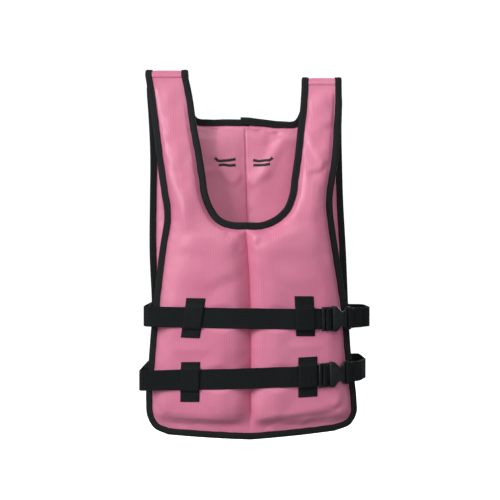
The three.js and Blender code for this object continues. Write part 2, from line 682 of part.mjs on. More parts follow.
function toSolid(geometry) {
  const body = closed(geometry.clone());
  return new wasm.Manifold(new wasm.Mesh({
    numProp: 3,
    vertProperties: new Float32Array(body.attributes.position.array),
    triVerts: new Uint32Array(body.index.array),
  }));
}

function fromSolid(solid) {
  const mesh = solid.getMesh();
  const geometry = new THREE.BufferGeometry();
  geometry.setAttribute('position', new THREE.BufferAttribute(new Float32Array(mesh.vertProperties), 3));
  geometry.setIndex(new THREE.BufferAttribute(new Uint32Array(mesh.triVerts), 1));
  geometry.computeVertexNormals();
  return geometry;
}

// Box from a low to a high corner, in buckle axes: along, height, out.
function block(low, high) {
  const size = new THREE.Vector3().subVectors(high, low);
  const geometry = new THREE.BoxGeometry(size.x, size.y, size.z);
  const middle = low.clone().add(high).multiplyScalar(0.5);
  return geometry.translate(middle.x, middle.y, middle.z);
}

const corner3 = (along, height, out) => new THREE.Vector3(along, height, out);
// Opening that the webbing passes through.
const slot = (from, to) => block(corner3(from, -slotHalf, 0), corner3(to, slotHalf, bodyHigh + 1));

function socket() {
  const frame = plate(rectangle(0, bodyStart + frameJoin, frameHalfHeight), frameLow, frameHigh, 0.8);
  const body = plate(bothSides([
    [bodyStart, frameHalfHeight], [bodyStart + 6, bodyHalfHeight],
    [socketLength - shoulderBack, bodyHalfHeight - shoulderDepth],
    [socketLength - mouthBack, mouthHalfHeight + 1], [socketLength, mouthHalfHeight],
  ]), bodyLow, bodyHigh, 1.6);
  const cavity = block(
    corner3(bodyStart + frameJoin, -cavityHalf, cavityLow),
    corner3(socketLength + 1, cavityHalf, cavityHigh));
  const window = block(
    corner3(socketLength - windowFrom, -bodyHalfHeight - 1, cavityLow + windowEdge),
    corner3(socketLength - windowTo, bodyHalfHeight + 1, cavityHigh - windowEdge));
  const cuts = [cavity, window, slot(slotOne, middleBar), slot(slotTwo, bodyStart)];
  const whole = toSolid(frame).add(toSolid(body));
  return fromSolid(cuts.reduce((solid, cut) => solid.subtract(toSolid(cut)), whole));
}

function plug() {
  const base = plate(bothSides([
    [plugStart, mouthHalfHeight], [plugStart + 5.5, frameHalfHeight - 0.5], [plugEnd, frameHalfHeight - 1],
  ]), frameLow, frameHigh, 0.8);
  const reach = bodyStart + frameJoin + fit;
  const root = plugStart + prongWidth;
  const low = cavityLow + fit;
  const high = cavityHigh - fit;
  const tongue = block(corner3(reach + prongWidth, -tongueHalf, low), corner3(root, tongueHalf, high));
  const prong = (hand) => {
    const outer = cavityHalf - fit;
    const inner = outer - prongWidth;
    const button = bodyHalfHeight - buttonInset;
    const buttonFrom = socketLength - windowFrom + fit;
    const buttonTo = socketLength - windowTo - fit;
    return plate([
      [reach, inner], [reach, outer - prongWidth / 2], [buttonFrom + fit, outer],
      [buttonFrom + prongWidth, button], [buttonTo, button - 2], [buttonTo, outer],
      [root, outer], [root, inner],
    ].map(([l, z]) => [l, z * hand]), low + windowEdge, high - windowEdge, 0);
  };
  const eye = slot(plugBar - slotWidth + 1, plugBar);
  const open = toSolid(base).subtract(toSolid(eye));
  return fromSolid([tongue, prong(1), prong(-1)].reduce((solid, piece) => solid.add(toSolid(piece)), open));
}

// Turns a buckle part from (along, height, out) into its place on the belt.
function onBelt(geometry, frame) {
  const placed = geometry.clone();
  const p = placed.attributes.position;
  for (let i = 0; i < p.count; i++) {
    const plan = frame.at(p.getX(i), p.getZ(i));
    p.setXYZ(i, plan.x, plan.y, frame.heightAt(plan) + p.getY(i));
  }
  return outward(placed);
}

// Short webbing loop on the back, sewn down at both ends.
function hangLoop(layout) {
  const reach = tackGap / 2 + tackLength;
  const path = [];
  for (let i = 0; i <= 24; i++) {
    const x = THREE.MathUtils.lerp(-reach, reach, i / 24);
    const free = Math.max(0, 1 - (x / (tackGap / 2)) ** 2);
    const p = restingFace(layout, x, tackUp, loopWidth);
    path.push(new THREE.Vector2(p.x, p.y + clearance + loopThick / 2 + loopRise * free));
  }
  const z = hung(1, 0, tackUp, 0).z;
  return ribbon(path, loopWidth, loopThick, () => z);
}

function named(name, geometry, material) {
  const mesh = new THREE.Mesh(geometry, material);
  mesh.name = name;
  return mesh;
}

const layouts = { front: panelLayout(FRONT_ROWS, -1), back: panelLayout(BACK_ROWS, 1) };

const covers = new THREE.Group();
covers.add(named('front_panel', panel(layouts.front), coatedCloth));
covers.add(named('back_panel', panel(layouts.back), coatedCloth));

const binding = new THREE.Group();
binding.add(named('edge_tape', tape(layouts.front, layouts.back, 'edgeRing'), blackTape));
binding.add(named('neck_tape', tape(layouts.front, layouts.back, 'neckRing'), blackTape));

const straps = new THREE.Group();
const frames = BELTS.map((row) => beltFrame(row, layouts));
for (const frame of frames) {
  const { name } = frame.row;
  const belt = ribbon(beltPath(frame, layouts), webbingWidth, webbingThick, frame.heightAt);
  straps.add(named(`belt_${name}`, belt, blackWebbing));
  straps.add(named(`buckle_${name}_socket`, onBelt(socket(), frame), blackPlastic));
  straps.add(named(`buckle_${name}_plug`, onBelt(plug(), frame), blackPlastic));
}
for (const row of KEEPERS) {
  straps.add(named(`keeper_${row.name}`, keeper(row, frames[row.belt], layouts), blackWebbing));
}
straps.add(named('hang_loop', hangLoop(layouts.back), blackWebbing));

const vest = new THREE.Group();
vest.add(covers, binding, straps);

export default vest;
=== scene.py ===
"""A foam life jacket that hangs by its two shoulder straps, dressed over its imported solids.

Everything is in the part's own frame: +Z up, the front faces -Y, and the origin lies midway between
the two shoulder folds. Sizes in the classes are millimetres and are turned into metres as a mesh is made.
"""
from __future__ import annotations

import json
import logging
import math
from collections.abc import Callable, Sequence
from dataclasses import dataclass, field
from enum import Enum
from functools import partial
from typing import Any

import bmesh
import bpy
import numpy as np
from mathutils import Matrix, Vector
from mathutils.bvhtree import BVHTree

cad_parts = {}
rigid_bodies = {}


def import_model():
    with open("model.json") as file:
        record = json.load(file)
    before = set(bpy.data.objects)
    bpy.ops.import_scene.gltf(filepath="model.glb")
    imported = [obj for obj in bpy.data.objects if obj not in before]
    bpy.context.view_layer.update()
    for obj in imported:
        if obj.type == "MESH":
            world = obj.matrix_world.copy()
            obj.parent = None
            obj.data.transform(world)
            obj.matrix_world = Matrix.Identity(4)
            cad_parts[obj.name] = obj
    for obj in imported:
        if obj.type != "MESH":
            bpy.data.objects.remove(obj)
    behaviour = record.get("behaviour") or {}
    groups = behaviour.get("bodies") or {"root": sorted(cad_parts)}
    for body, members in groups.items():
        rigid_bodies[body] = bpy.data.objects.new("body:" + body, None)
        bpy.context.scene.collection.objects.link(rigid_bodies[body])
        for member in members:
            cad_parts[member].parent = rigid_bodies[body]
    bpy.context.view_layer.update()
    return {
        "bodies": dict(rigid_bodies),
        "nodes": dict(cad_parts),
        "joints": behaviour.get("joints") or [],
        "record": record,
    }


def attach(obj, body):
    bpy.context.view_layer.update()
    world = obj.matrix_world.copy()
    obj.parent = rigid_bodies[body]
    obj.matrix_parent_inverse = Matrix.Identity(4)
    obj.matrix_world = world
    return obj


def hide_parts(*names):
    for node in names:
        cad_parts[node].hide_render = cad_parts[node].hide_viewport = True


LOG = logging.getLogger("life_jacket")
MM = 0.001
BODY = "root"
SEED = 7
# Steps below the neck, beside it and along half the hem of an outline that is only measured against.
ROUGH_STEPS = (60, 50, 24)

Array = np.ndarray
Add = Callable[..., bpy.types.Node]
Relief = list[tuple[bpy.types.Node, float]]
Shell = dict[str, Any]


# Small mathematics


def smoothstep(low: float, high: float, at: Array | float) -> Array:
    """Eased 0 to 1 as at goes from low to high.

    Args:
        low: Value that gives 0.
        high: Value that gives 1.
        at: One value or an array.

    Returns:
        The eased share for each value.
    """
    share = np.clip((np.asarray(at, float) - low) / (high - low), 0, 1)
    return share * share * (3 - 2 * share)


def smooth_line(points: Array, steps: int = 24) -> Array:
    """Smooth line through points, by cubic pieces over chord length.

    Args:
        points: Rows of coordinates that the line passes.
        steps: Pieces that each stretch between two points is cut into.

    Returns:
        The dense line, both ends kept. Point i lies at row i * steps.
    """
    points = np.asarray(points, float)
    keys = np.concatenate([[0], np.cumsum(np.linalg.norm(np.diff(points, axis=0), axis=1))])
    slopes = np.gradient(points, keys, axis=0)
    line = []
    for i in range(len(points) - 1):
        t = (np.arange(steps) / steps)[:, None]
        span = keys[i + 1] - keys[i]
        line.append(
            (2 * t**3 - 3 * t**2 + 1) * points[i] + (t**3 - 2 * t**2 + t) * span * slopes[i]
            + (3 * t**2 - 2 * t**3) * points[i + 1] + (t**3 - t**2) * span * slopes[i + 1]
        )
    return np.vstack([*line, points[-1:]])


def lengths_along(line: Array) -> Array:
    """Length from a line's start to each of its points."""
    return np.concatenate([[0], np.cumsum(np.linalg.norm(np.diff(line, axis=0), axis=1))])


def even_steps(line: Array, count: int) -> Array:
    """Sets a line's points an equal length apart.

    Args:
        line: Rows of coordinates.
        count: Steps of the new line.

    Returns:
        count + 1 points.
    """
    run = lengths_along(line)
    at = np.linspace(0, run[-1], count + 1)
    return np.stack([np.interp(at, run, line[:, k]) for k in range(line.shape[1])], axis=1)


def distance_to_line(points: Array, line: Array) -> tuple[Array, Array, Array]:
    """Nearest distance of flat points to a line of straight pieces.

    Args:
        points: n by 2 coordinates.
        line: m by 2 coordinates, in order.

    Returns:
        The distance, the signed distance (positive on the line's left) and the share of the line's length
        where the nearest place lies, each with n values.
    """
    start, end = line[:-1], line[1:]
    run = end - start
    size = np.maximum((run**2).sum(1), 1e-9)
    best = np.full(len(points), np.inf)
    signed = np.zeros(len(points))
    share = np.zeros(len(points))
    total = lengths_along(line)
    for i in range(len(start)):
        off = points - start[i]
        t = np.clip((off @ run[i]) / size[i], 0, 1)
        gap = np.linalg.norm(off - t[:, None] * run[i], axis=1)
        cross = run[i, 0] * off[:, 1] - run[i, 1] * off[:, 0]
        closer = gap < best
        best = np.where(closer, gap, best)
        signed = np.where(closer, gap * np.sign(cross), signed)
        share = np.where(closer, (total[i] + t * math.sqrt(size[i])) / total[-1], share)
    return best, signed, share


def weld(points: Array) -> tuple[Array, Array]:
    """Joins points that lie in one place.

    Args:
        points: n by 3 coordinates in millimetres.

    Returns:
        The separate points, and for each given point its number among them.
    """
    _, first, inverse = np.unique(np.round(points, 4), axis=0, return_index=True, return_inverse=True)
    return points[first], inverse.ravel()


# Meshes


def surface_of(piece: bpy.types.Object) -> BVHTree:
    """Search tree over a piece's faces, in metres."""
    mesh = piece.data
    return BVHTree.FromPolygons([v.co.copy() for v in mesh.vertices], [tuple(f.vertices) for f in mesh.polygons])


def laid_on(surface: BVHTree, points: Array, toward: Array, lift: float) -> Array:
    """Drops points onto a surface.

    Args:
        surface: Search tree of the surface.
        points: n by 3 millimetres, near the surface.
        toward: Direction in which they drop.
        lift: Millimetres that they stay off it.

    Returns:
        n by 3 millimetres. A point that meets nothing stays where it is.
    """
    toward = np.asarray(toward, float) / np.linalg.norm(toward)
    out = []
    for point in points:
        start = Vector((point - toward * 30) * MM)
        hit = surface.ray_cast(start, Vector(toward), 0.08)[0]
        out.append(point if hit is None else np.array(hit) / MM - toward * lift)
    return np.array(out)


def make_mesh(
    name: str, points: Array, faces: Sequence[Sequence[int]], finish: bpy.types.Material,
    uv: Array | None = None, turn_out: bool = True,
) -> bpy.types.Object:
    """Makes one smooth object from points in millimetres.

    Args:
        name: The object's name.
        points: n by 3 coordinates.
        faces: Corner numbers of each face.
        finish: Its material.
        uv: Millimetres across and along the cloth, for each point or for each face corner.
        turn_out: Whether the faces are turned to point out of the closed body.

    Returns:
        The new object at the origin.
    """
    mesh = bpy.data.meshes.new(name)
    mesh.from_pydata([tuple(p) for p in np.asarray(points, float) * MM], [], [tuple(f) for f in faces])
    if uv is not None:
        layer = mesh.uv_layers.new(name="Cloth")
        corner = np.zeros(len(mesh.loops), np.int32)
        mesh.loops.foreach_get("vertex_index", corner)
        flat = uv[corner] if len(uv) == len(points) else uv
        layer.data.foreach_set("uv", (flat * MM).astype(np.float32).ravel())
    mesh.shade_smooth()
    mesh.materials.append(finish)
    if turn_out:
        work = bmesh.new()
        work.from_mesh(mesh)
        bmesh.ops.recalc_face_normals(work, faces=work.faces)
        work.to_mesh(mesh)
        work.free()
    mesh.update()
    piece = bpy.data.objects.new(name, mesh)
    bpy.context.scene.collection.objects.link(piece)
    return piece


def settle(piece: bpy.types.Object) -> bpy.types.Object:
    """Turns a piece with its modifiers into a plain mesh with the same name.

    Args:
        piece: The object with modifiers.

    Returns:
        The same object, without modifiers.
    """
    depsgraph = bpy.context.evaluated_depsgraph_get()
    mesh = bpy.data.meshes.new_from_object(
        piece.evaluated_get(depsgraph), preserve_all_data_layers=True, depsgraph=depsgraph)
    old = piece.data
    piece.modifiers.clear()
    piece.data = mesh
    bpy.data.meshes.remove(old)
    mesh.name = piece.name
    return piece


def sweep(name: str, rings: Array, finish: bpy.types.Material, around: Array) -> bpy.types.Object:
    """Closed body from rings of points, one ring for each place along a path.

    Args:
        name: The object's name.
        rings: steps by ring points by 3, in millimetres.
        finish: Its material.
        around: Millimetres across the webbing for each ring point, for the weave.
    Returns:
        The new object.
    """
    steps, count = rings.shape[:2]
    along = lengths_along(rings.mean(axis=1))
    rounds = [
        ((k, i), (k + 1, i), (k + 1, (i + 1) % count), (k, (i + 1) % count))
        for k in range(steps - 1) for i in range(count)
    ]
    rounds += [[(0, i) for i in range(count)], [(steps - 1, i) for i in reversed(range(count))]]
    faces = [tuple(row * count + i for row, i in corners) for corners in rounds]
    uv = [(around[i], along[row]) for corners in rounds for row, i in corners]
    return make_mesh(name, rings.reshape(-1, 3), faces, finish, np.array(uv))


# Finishes


def from_hex(code: str) -> tuple[float, float, float, float]:
    """Linear colour of an sRGB hex code.

    Args:
        code: Six hex digits.

    Returns:
        Linear red, green and blue, and an alpha of 1.
    """
    values = [int(code[i : i + 2], 16) / 255 for i in (0, 2, 4)]
    linear = [v / 12.92 if v <= 0.04045 else ((v + 0.055) / 1.055) ** 2.4 for v in values]
    return (*linear, 1.0)


def add_node(tree: bpy.types.NodeTree, kind: str, inputs: dict | tuple = (), **settings: object) -> bpy.types.Node:
    """Adds a node with its settings and links.

    Args:
        tree: The tree that gets the node.
        kind: The node's type.
        inputs: Values by socket name or number, or in socket order. A node stands for its first output,
            and None leaves the socket alone.
        **settings: The node's own properties.

    Returns:
        The new node.
    """
    node = tree.nodes.new(kind)
    for key, value in settings.items():
        setattr(node, key, value)
    for key, value in (inputs if isinstance(inputs, dict) else dict(enumerate(inputs))).items():
        source = value.outputs[0] if isinstance(value, bpy.types.Node) else value
        if isinstance(source, bpy.types.NodeSocket):
            tree.links.new(source, node.inputs[key])
        elif value is not None:
            node.inputs[key].default_value = value
    return node


def dyed(ramp: bpy.types.Node, *stops: tuple[float, str]) -> bpy.types.Node:
    """Sets the colours of a colour ramp.

    Args:
        ramp: The ramp's node.
        *stops: Place and hex colour of each stop.

    Returns:
        The same node.
    """
    elements = ramp.color_ramp.elements
    while len(elements) < len(stops):
        elements.new(0.5)
    for element, (place, code) in zip(elements, stops):
        element.position = place
        element.color = from_hex(code)
    return ramp


def ribs(add: Add, at: object, pitch: float) -> bpy.types.Node:
    """Even ribs, as a sine from 0 to 1.

    Args:
        add: Adds a node to the material.
        at: Metres across the ribs.
        pitch: Millimetres from rib to rib.

    Returns:
        The node that gives their height.
    """
    turn = add("ShaderNodeMath", (at, 2 * math.pi / (pitch * MM)), operation="MULTIPLY")
    return add("ShaderNodeMath", (add("ShaderNodeMath", (turn,), operation="SINE"), 0.5, 0.5), operation="MULTIPLY_ADD")


def clouds(add: Add, *kinds: tuple[float, float]) -> list[bpy.types.Node]:
    """Uneven patterns that lie in the piece itself.

    Args:
        add: Adds a node to the material.
        *kinds: Cycles a metre and octaves of each pattern.

    Returns:
        One node for each pattern.
    """
    spot = add("ShaderNodeTexCoord").outputs["Object"]
    return [
        add("ShaderNodeTexNoise", {"Vector": spot, "Scale": scale, "Detail": detail, "Roughness": 0.55})
        for scale, detail in kinds
    ]


class Finish:
    """What all finishes share: a name of their own, and one shader over a stack of reliefs."""

    name: str

    def dress(self, add: Add) -> tuple[dict[str, object], Relief]:
        """Adds the finish's own nodes.

        Args:
            add: Adds a node to the material.

        Returns:
            The shader's inputs by name, and each relief with its depth in millimetres.
        """
        raise NotImplementedError

    def build(self) -> bpy.types.Material:
        """Makes the material.

        Returns:
            The material.
        """
        material = bpy.data.materials.new(self.name)
        material.use_nodes = True
        material.node_tree.nodes.clear()
        add = partial(add_node, material.node_tree)
        inputs, relief = self.dress(add)
        for height, depth in relief:
            bumped = {"Height": height, "Distance": depth * MM, "Strength": 1.0, "Normal": inputs.get("Normal")}
            inputs["Normal"] = add("ShaderNodeBump", bumped)
        add("ShaderNodeOutputMaterial", (add("ShaderNodeBsdfPrincipled", inputs),))
        return material


@dataclass(frozen=True)
class CoatedCloth(Finish):
    """Ribbed polyester cloth, calendered with a coat of soft PVC, dyed pink.

    The coat gives the eye a soft shine that slides over the pads, broken by the ribs. The colour is painted
    lighter on each rib's crest and darker between the ribs, as light and shade. The real ribs are finer than
    a pixel, so they are drawn 4.5 mm apart to show.
    """

    name: str = "pvc_coated_ribbed_cloth"
    mid: str = "D97C9B"
    low: str = "CE7091"
    high: str = "E189A6"
    rib_pitch: float = 4.5
    rib_depth: float = 0.055
    rib_drift: float = 1.6
    yarn_pitch: float = 0.9
    roughness: float = 0.43

    def dress(self, add: Add) -> tuple[dict[str, object], Relief]:
        """Ribs down the cloth with painted light on their crests and painted shade between, a fine weave under the coat
        and slight clouds of dye.

        Args:
            add: Adds a node to the material.

        Returns:
            The shader's inputs and the reliefs.
        """
        across, along, _ = add("ShaderNodeSeparateXYZ", (add("ShaderNodeUVMap", uv_map="Cloth"),)).outputs
        wander, dye, grain, wear = clouds(add, (14, 2), (9, 5), (1600, 2), (60, 4))
        drawn = add("ShaderNodeMath", (wander, self.rib_drift * MM, across), operation="MULTIPLY_ADD")
        crest = add("ShaderNodeMath", (ribs(add, drawn, self.rib_pitch), 0.6), operation="POWER")
        yarns = (ribs(add, across, self.yarn_pitch), ribs(add, along, self.yarn_pitch))
        weave = add("ShaderNodeMath", yarns, operation="MULTIPLY")
        depth = add("ShaderNodeMath", (dye, 0.9, -0.03), operation="MULTIPLY_ADD")
        # Painted light and shade: the colour is lighter on each rib's crest and darker between the ribs, over the
        # clouds of dye.
        shaded_tone = add("ShaderNodeMath", (crest, 0.17, depth), operation="MULTIPLY_ADD")
        return {
            "Base Color": dyed(add("ShaderNodeValToRGB", (shaded_tone,)), (0.2, self.low), (0.5, self.mid), (0.8, self.high)),
            "Roughness": add("ShaderNodeMath", (wear, 0.14, self.roughness - 0.07), operation="MULTIPLY_ADD"),
            "Sheen Weight": 0.08, "Sheen Roughness": 0.5, "Specular IOR Level": 0.48,
        }, [(crest, self.rib_depth), (weave, 0.03), (grain, 0.02)]


@dataclass(frozen=True)
class BindingCloth(Finish):
    """Woven polyester binding tape, dyed black.

    Its cross ribs and loose lint give the eye a matt, slightly dusty edge, and the colour is painted lighter
    on the rib crests and darker between them, as light and shade. The ribs are drawn 1.3 mm apart, about
    twice the real spacing, so that they show.
    """

    name: str = "woven_binding_tape"
    low: str = "101314"
    mid: str = "171B1C"
    high: str = "252B2C"
    rib_pitch: float = 1.3
    yarn_pitch: float = 0.55

    def dress(self, add: Add) -> tuple[dict[str, object], Relief]:
        """Cross ribs painted lighter on their crests and darker between them as light and shade, a thread grain and
        random lint.

        Args:
            add: Adds a node to the material.

        Returns:
            The shader's inputs and the reliefs.
        """
        across, along, _ = add("ShaderNodeSeparateXYZ", (add("ShaderNodeUVMap", uv_map="Cloth"),)).outputs
        rib, thread = ribs(add, along, self.rib_pitch), ribs(add, across, self.yarn_pitch)
        lint, = clouds(add, (420, 4))
        worn = add("ShaderNodeMath", (lint, 0.6), operation="MULTIPLY")
        # Painted light and shade: lighter on the rib crests, darker between the ribs, over random lint.
        shaded_tone = add("ShaderNodeMath", (rib, 0.4, worn), operation="MULTIPLY_ADD")
        return {
            "Base Color": dyed(
                add("ShaderNodeValToRGB", (shaded_tone,)), (0.15, self.low), (0.5, self.mid), (0.95, self.high)),
            "Roughness": add("ShaderNodeMath", (lint, 0.16, 0.55), operation="MULTIPLY_ADD"),
            "Sheen Weight": 0.03, "Sheen Roughness": 0.4, "Specular IOR Level": 0.16,
        }, [(rib, 0.14), (thread, 0.05), (lint, 0.04)]


@dataclass(frozen=True)
class BeltWebbing(Finish):
    """Polypropylene webbing in a herringbone weave, dyed black.

    The slanting picks give the eye fine grey rows that turn back at each column, painted as light on each
    pick's crest and shade between the picks. A real pick is under 2 mm, less than a pixel, so the picks are
    drawn 3.8 mm long and the columns 6.3 mm wide to show.
    """

    name: str = "woven_polypropylene_webbing"
    low: str = "07090A"
    mid: str = "0D1214"
    high: str = "20282C"
    column: float = 6.3
    pick: float = 3.8
    yarn_pitch: float = 0.7

    def dress(self, add: Add) -> tuple[dict[str, object], Relief]:
        """Slanted picks that turn back at each column, with painted light on their crests and painted shade between,
        and a fine yarn grain.

        Args:
            add: Adds a node to the material.

        Returns:
            The shader's inputs and the reliefs.
        """
        across, along, _ = add("ShaderNodeSeparateXYZ", (add("ShaderNodeUVMap", uv_map="Cloth"),)).outputs
        columns = add("ShaderNodeMath", (across, 1 / (self.column * MM)), operation="MULTIPLY")
        place = add("ShaderNodeMath", (columns,), operation="FRACT")
        middle = add("ShaderNodeMath", (place, 0.5), operation="SUBTRACT")
        zigzag = add("ShaderNodeMath", (middle,), operation="ABSOLUTE")
        slant = add("ShaderNodeMath", (zigzag, self.pick * MM, along), operation="MULTIPLY_ADD")
        picks = ribs(add, slant, self.pick)
        turned = add("ShaderNodeMath", (zigzag, 2.0), operation="MULTIPLY")
        valley = add("ShaderNodeMath", (turned, 8.0), operation="POWER")
        lint, = clouds(add, (300, 4))
        worn = add("ShaderNodeMath", (lint, 0.6, -0.1), operation="MULTIPLY_ADD")
        # Painted light and shade: lighter on the pick crests, darker between the picks, over random lint.
        shaded_tone = add("ShaderNodeMath", (picks, 0.5, worn), operation="MULTIPLY_ADD")
        return {
            "Base Color": dyed(add("ShaderNodeValToRGB", (shaded_tone,)), (0.1, self.low), (0.5, self.mid), (0.95, self.high)),
            "Roughness": add("ShaderNodeMath", (lint, 0.16, 0.60), operation="MULTIPLY_ADD"),
            "Sheen Weight": 0.02, "Sheen Roughness": 0.4, "Specular IOR Level": 0.18,
        }, [(picks, 0.34), (valley, -0.12), (ribs(add, across, self.yarn_pitch), 0.04), (lint, 0.03)]


@dataclass(frozen=True)
class MouldedPlastic(Finish):
    """Injection-moulded black acetal.

    The spark-eroded mould leaves a fine grain, which gives the eye broad satin lights along the rounded
    edges, and handling has polished it unevenly.
    """

    name: str = "moulded_acetal"
    low: str = "101416"
    mid: str = "15191B"
    high: str = "1E2326"
    roughness: float = 0.36

    def dress(self, add: Add) -> tuple[dict[str, object], Relief]:
        """Mould grain, faint flow marks and handling wear.

        Args:
            add: Adds a node to the material.

        Returns:
            The shader's inputs and the reliefs.
        """
        grain, flow = clouds(add, (2200, 2), (70, 4))
        return {
            "Base Color": dyed(add("ShaderNodeValToRGB", (flow,)), (0.3, self.low), (0.5, self.mid), (0.75, self.high)),
            "Roughness": add("ShaderNodeMath", (flow, 0.16, self.roughness - 0.06), operation="MULTIPLY_ADD"),
            "Specular IOR Level": 0.4,
        }, [(grain, 0.03), (flow, 0.05)]


@dataclass(frozen=True)
class SewingThread(Finish):
    """Twisted polyester sewing thread, which gives the eye a row of small soft beads."""

    name: str = "black_sewing_thread"
    dark: str = "0B0E0F"
    light: str = "20272A"

    def dress(self, add: Add) -> tuple[dict[str, object], Relief]:
        """A soft twist over the thread.

        Args:
            add: Adds a node to the material.

        Returns:
            The shader's inputs and the reliefs.
        """
        twist, = clouds(add, (2600, 2))
        colour = dyed(add("ShaderNodeValToRGB", (twist,)), (0.3, self.dark), (0.7, self.light))
        return {"Base Color": colour, "Roughness": 0.6, "Sheen Weight": 0.05}, [(twist, 0.05)]


@dataclass(frozen=True)
class StudioPaper(Finish):
    """Seamless matt paper, lit from behind a little, so that the eye sees an even pale ground."""

    name: str = "pale_backdrop"
    low: str = "F6F6F6"
    high: str = "FDFDFD"
    glow: float = 0.72

    def dress(self, add: Add) -> tuple[dict[str, object], Relief]:
        """Matt white with a faint grain.

        Args:
            add: Adds a node to the material.

        Returns:
            The shader's inputs and the reliefs.
        """
        grain, = clouds(add, (3, 2))
        return {
            "Base Color": dyed(add("ShaderNodeValToRGB", (grain,)), (0.3, self.low), (0.7, self.high)),
            "Roughness": 0.95, "Specular IOR Level": 0.1,
            "Emission Color": (1.0, 1.0, 1.0, 1.0), "Emission Strength": self.glow,
        }, []


@dataclass
class Finishes:
    """All materials, made once."""

    cloth: bpy.types.Material = field(default_factory=CoatedCloth().build)
    tape: bpy.types.Material = field(default_factory=BindingCloth().build)
    webbing: bpy.types.Material = field(default_factory=BeltWebbing().build)
    plastic: bpy.types.Material = field(default_factory=MouldedPlastic().build)
    black_thread: bpy.types.Material = field(default_factory=SewingThread().build)
    pink_thread: bpy.types.Material = field(
        default_factory=SewingThread("pink_sewing_thread", "B9607F", "E293AE").build)
    # Pink thread made dark, as painted shade of the sewn groove down the inside of the back.
    seam_shade_thread: bpy.types.Material = field(
        default_factory=SewingThread("deep_pink_sewing_thread", "6E3049", "8C4460").build)
    paper: bpy.types.Material = field(default_factory=StudioPaper().build)


# Pattern of the vest


class Side(Enum):
    """Which panel, with the sign of its outward direction along Y."""

    FRONT = -1
    BACK = 1


class Skin(Enum):
    """Outer or inner face of a panel."""

    OUTER = 0
    INNER = 1


@dataclass(frozen=True)
class Row:
    """One height of a panel's outline, as shares of the body length and of the half width."""

    up: float
    left: float
    right: float
    in_up: float | None = None
    in_left: float = 0.0
    in_right: float = 0.0
    lift: float = 0.0


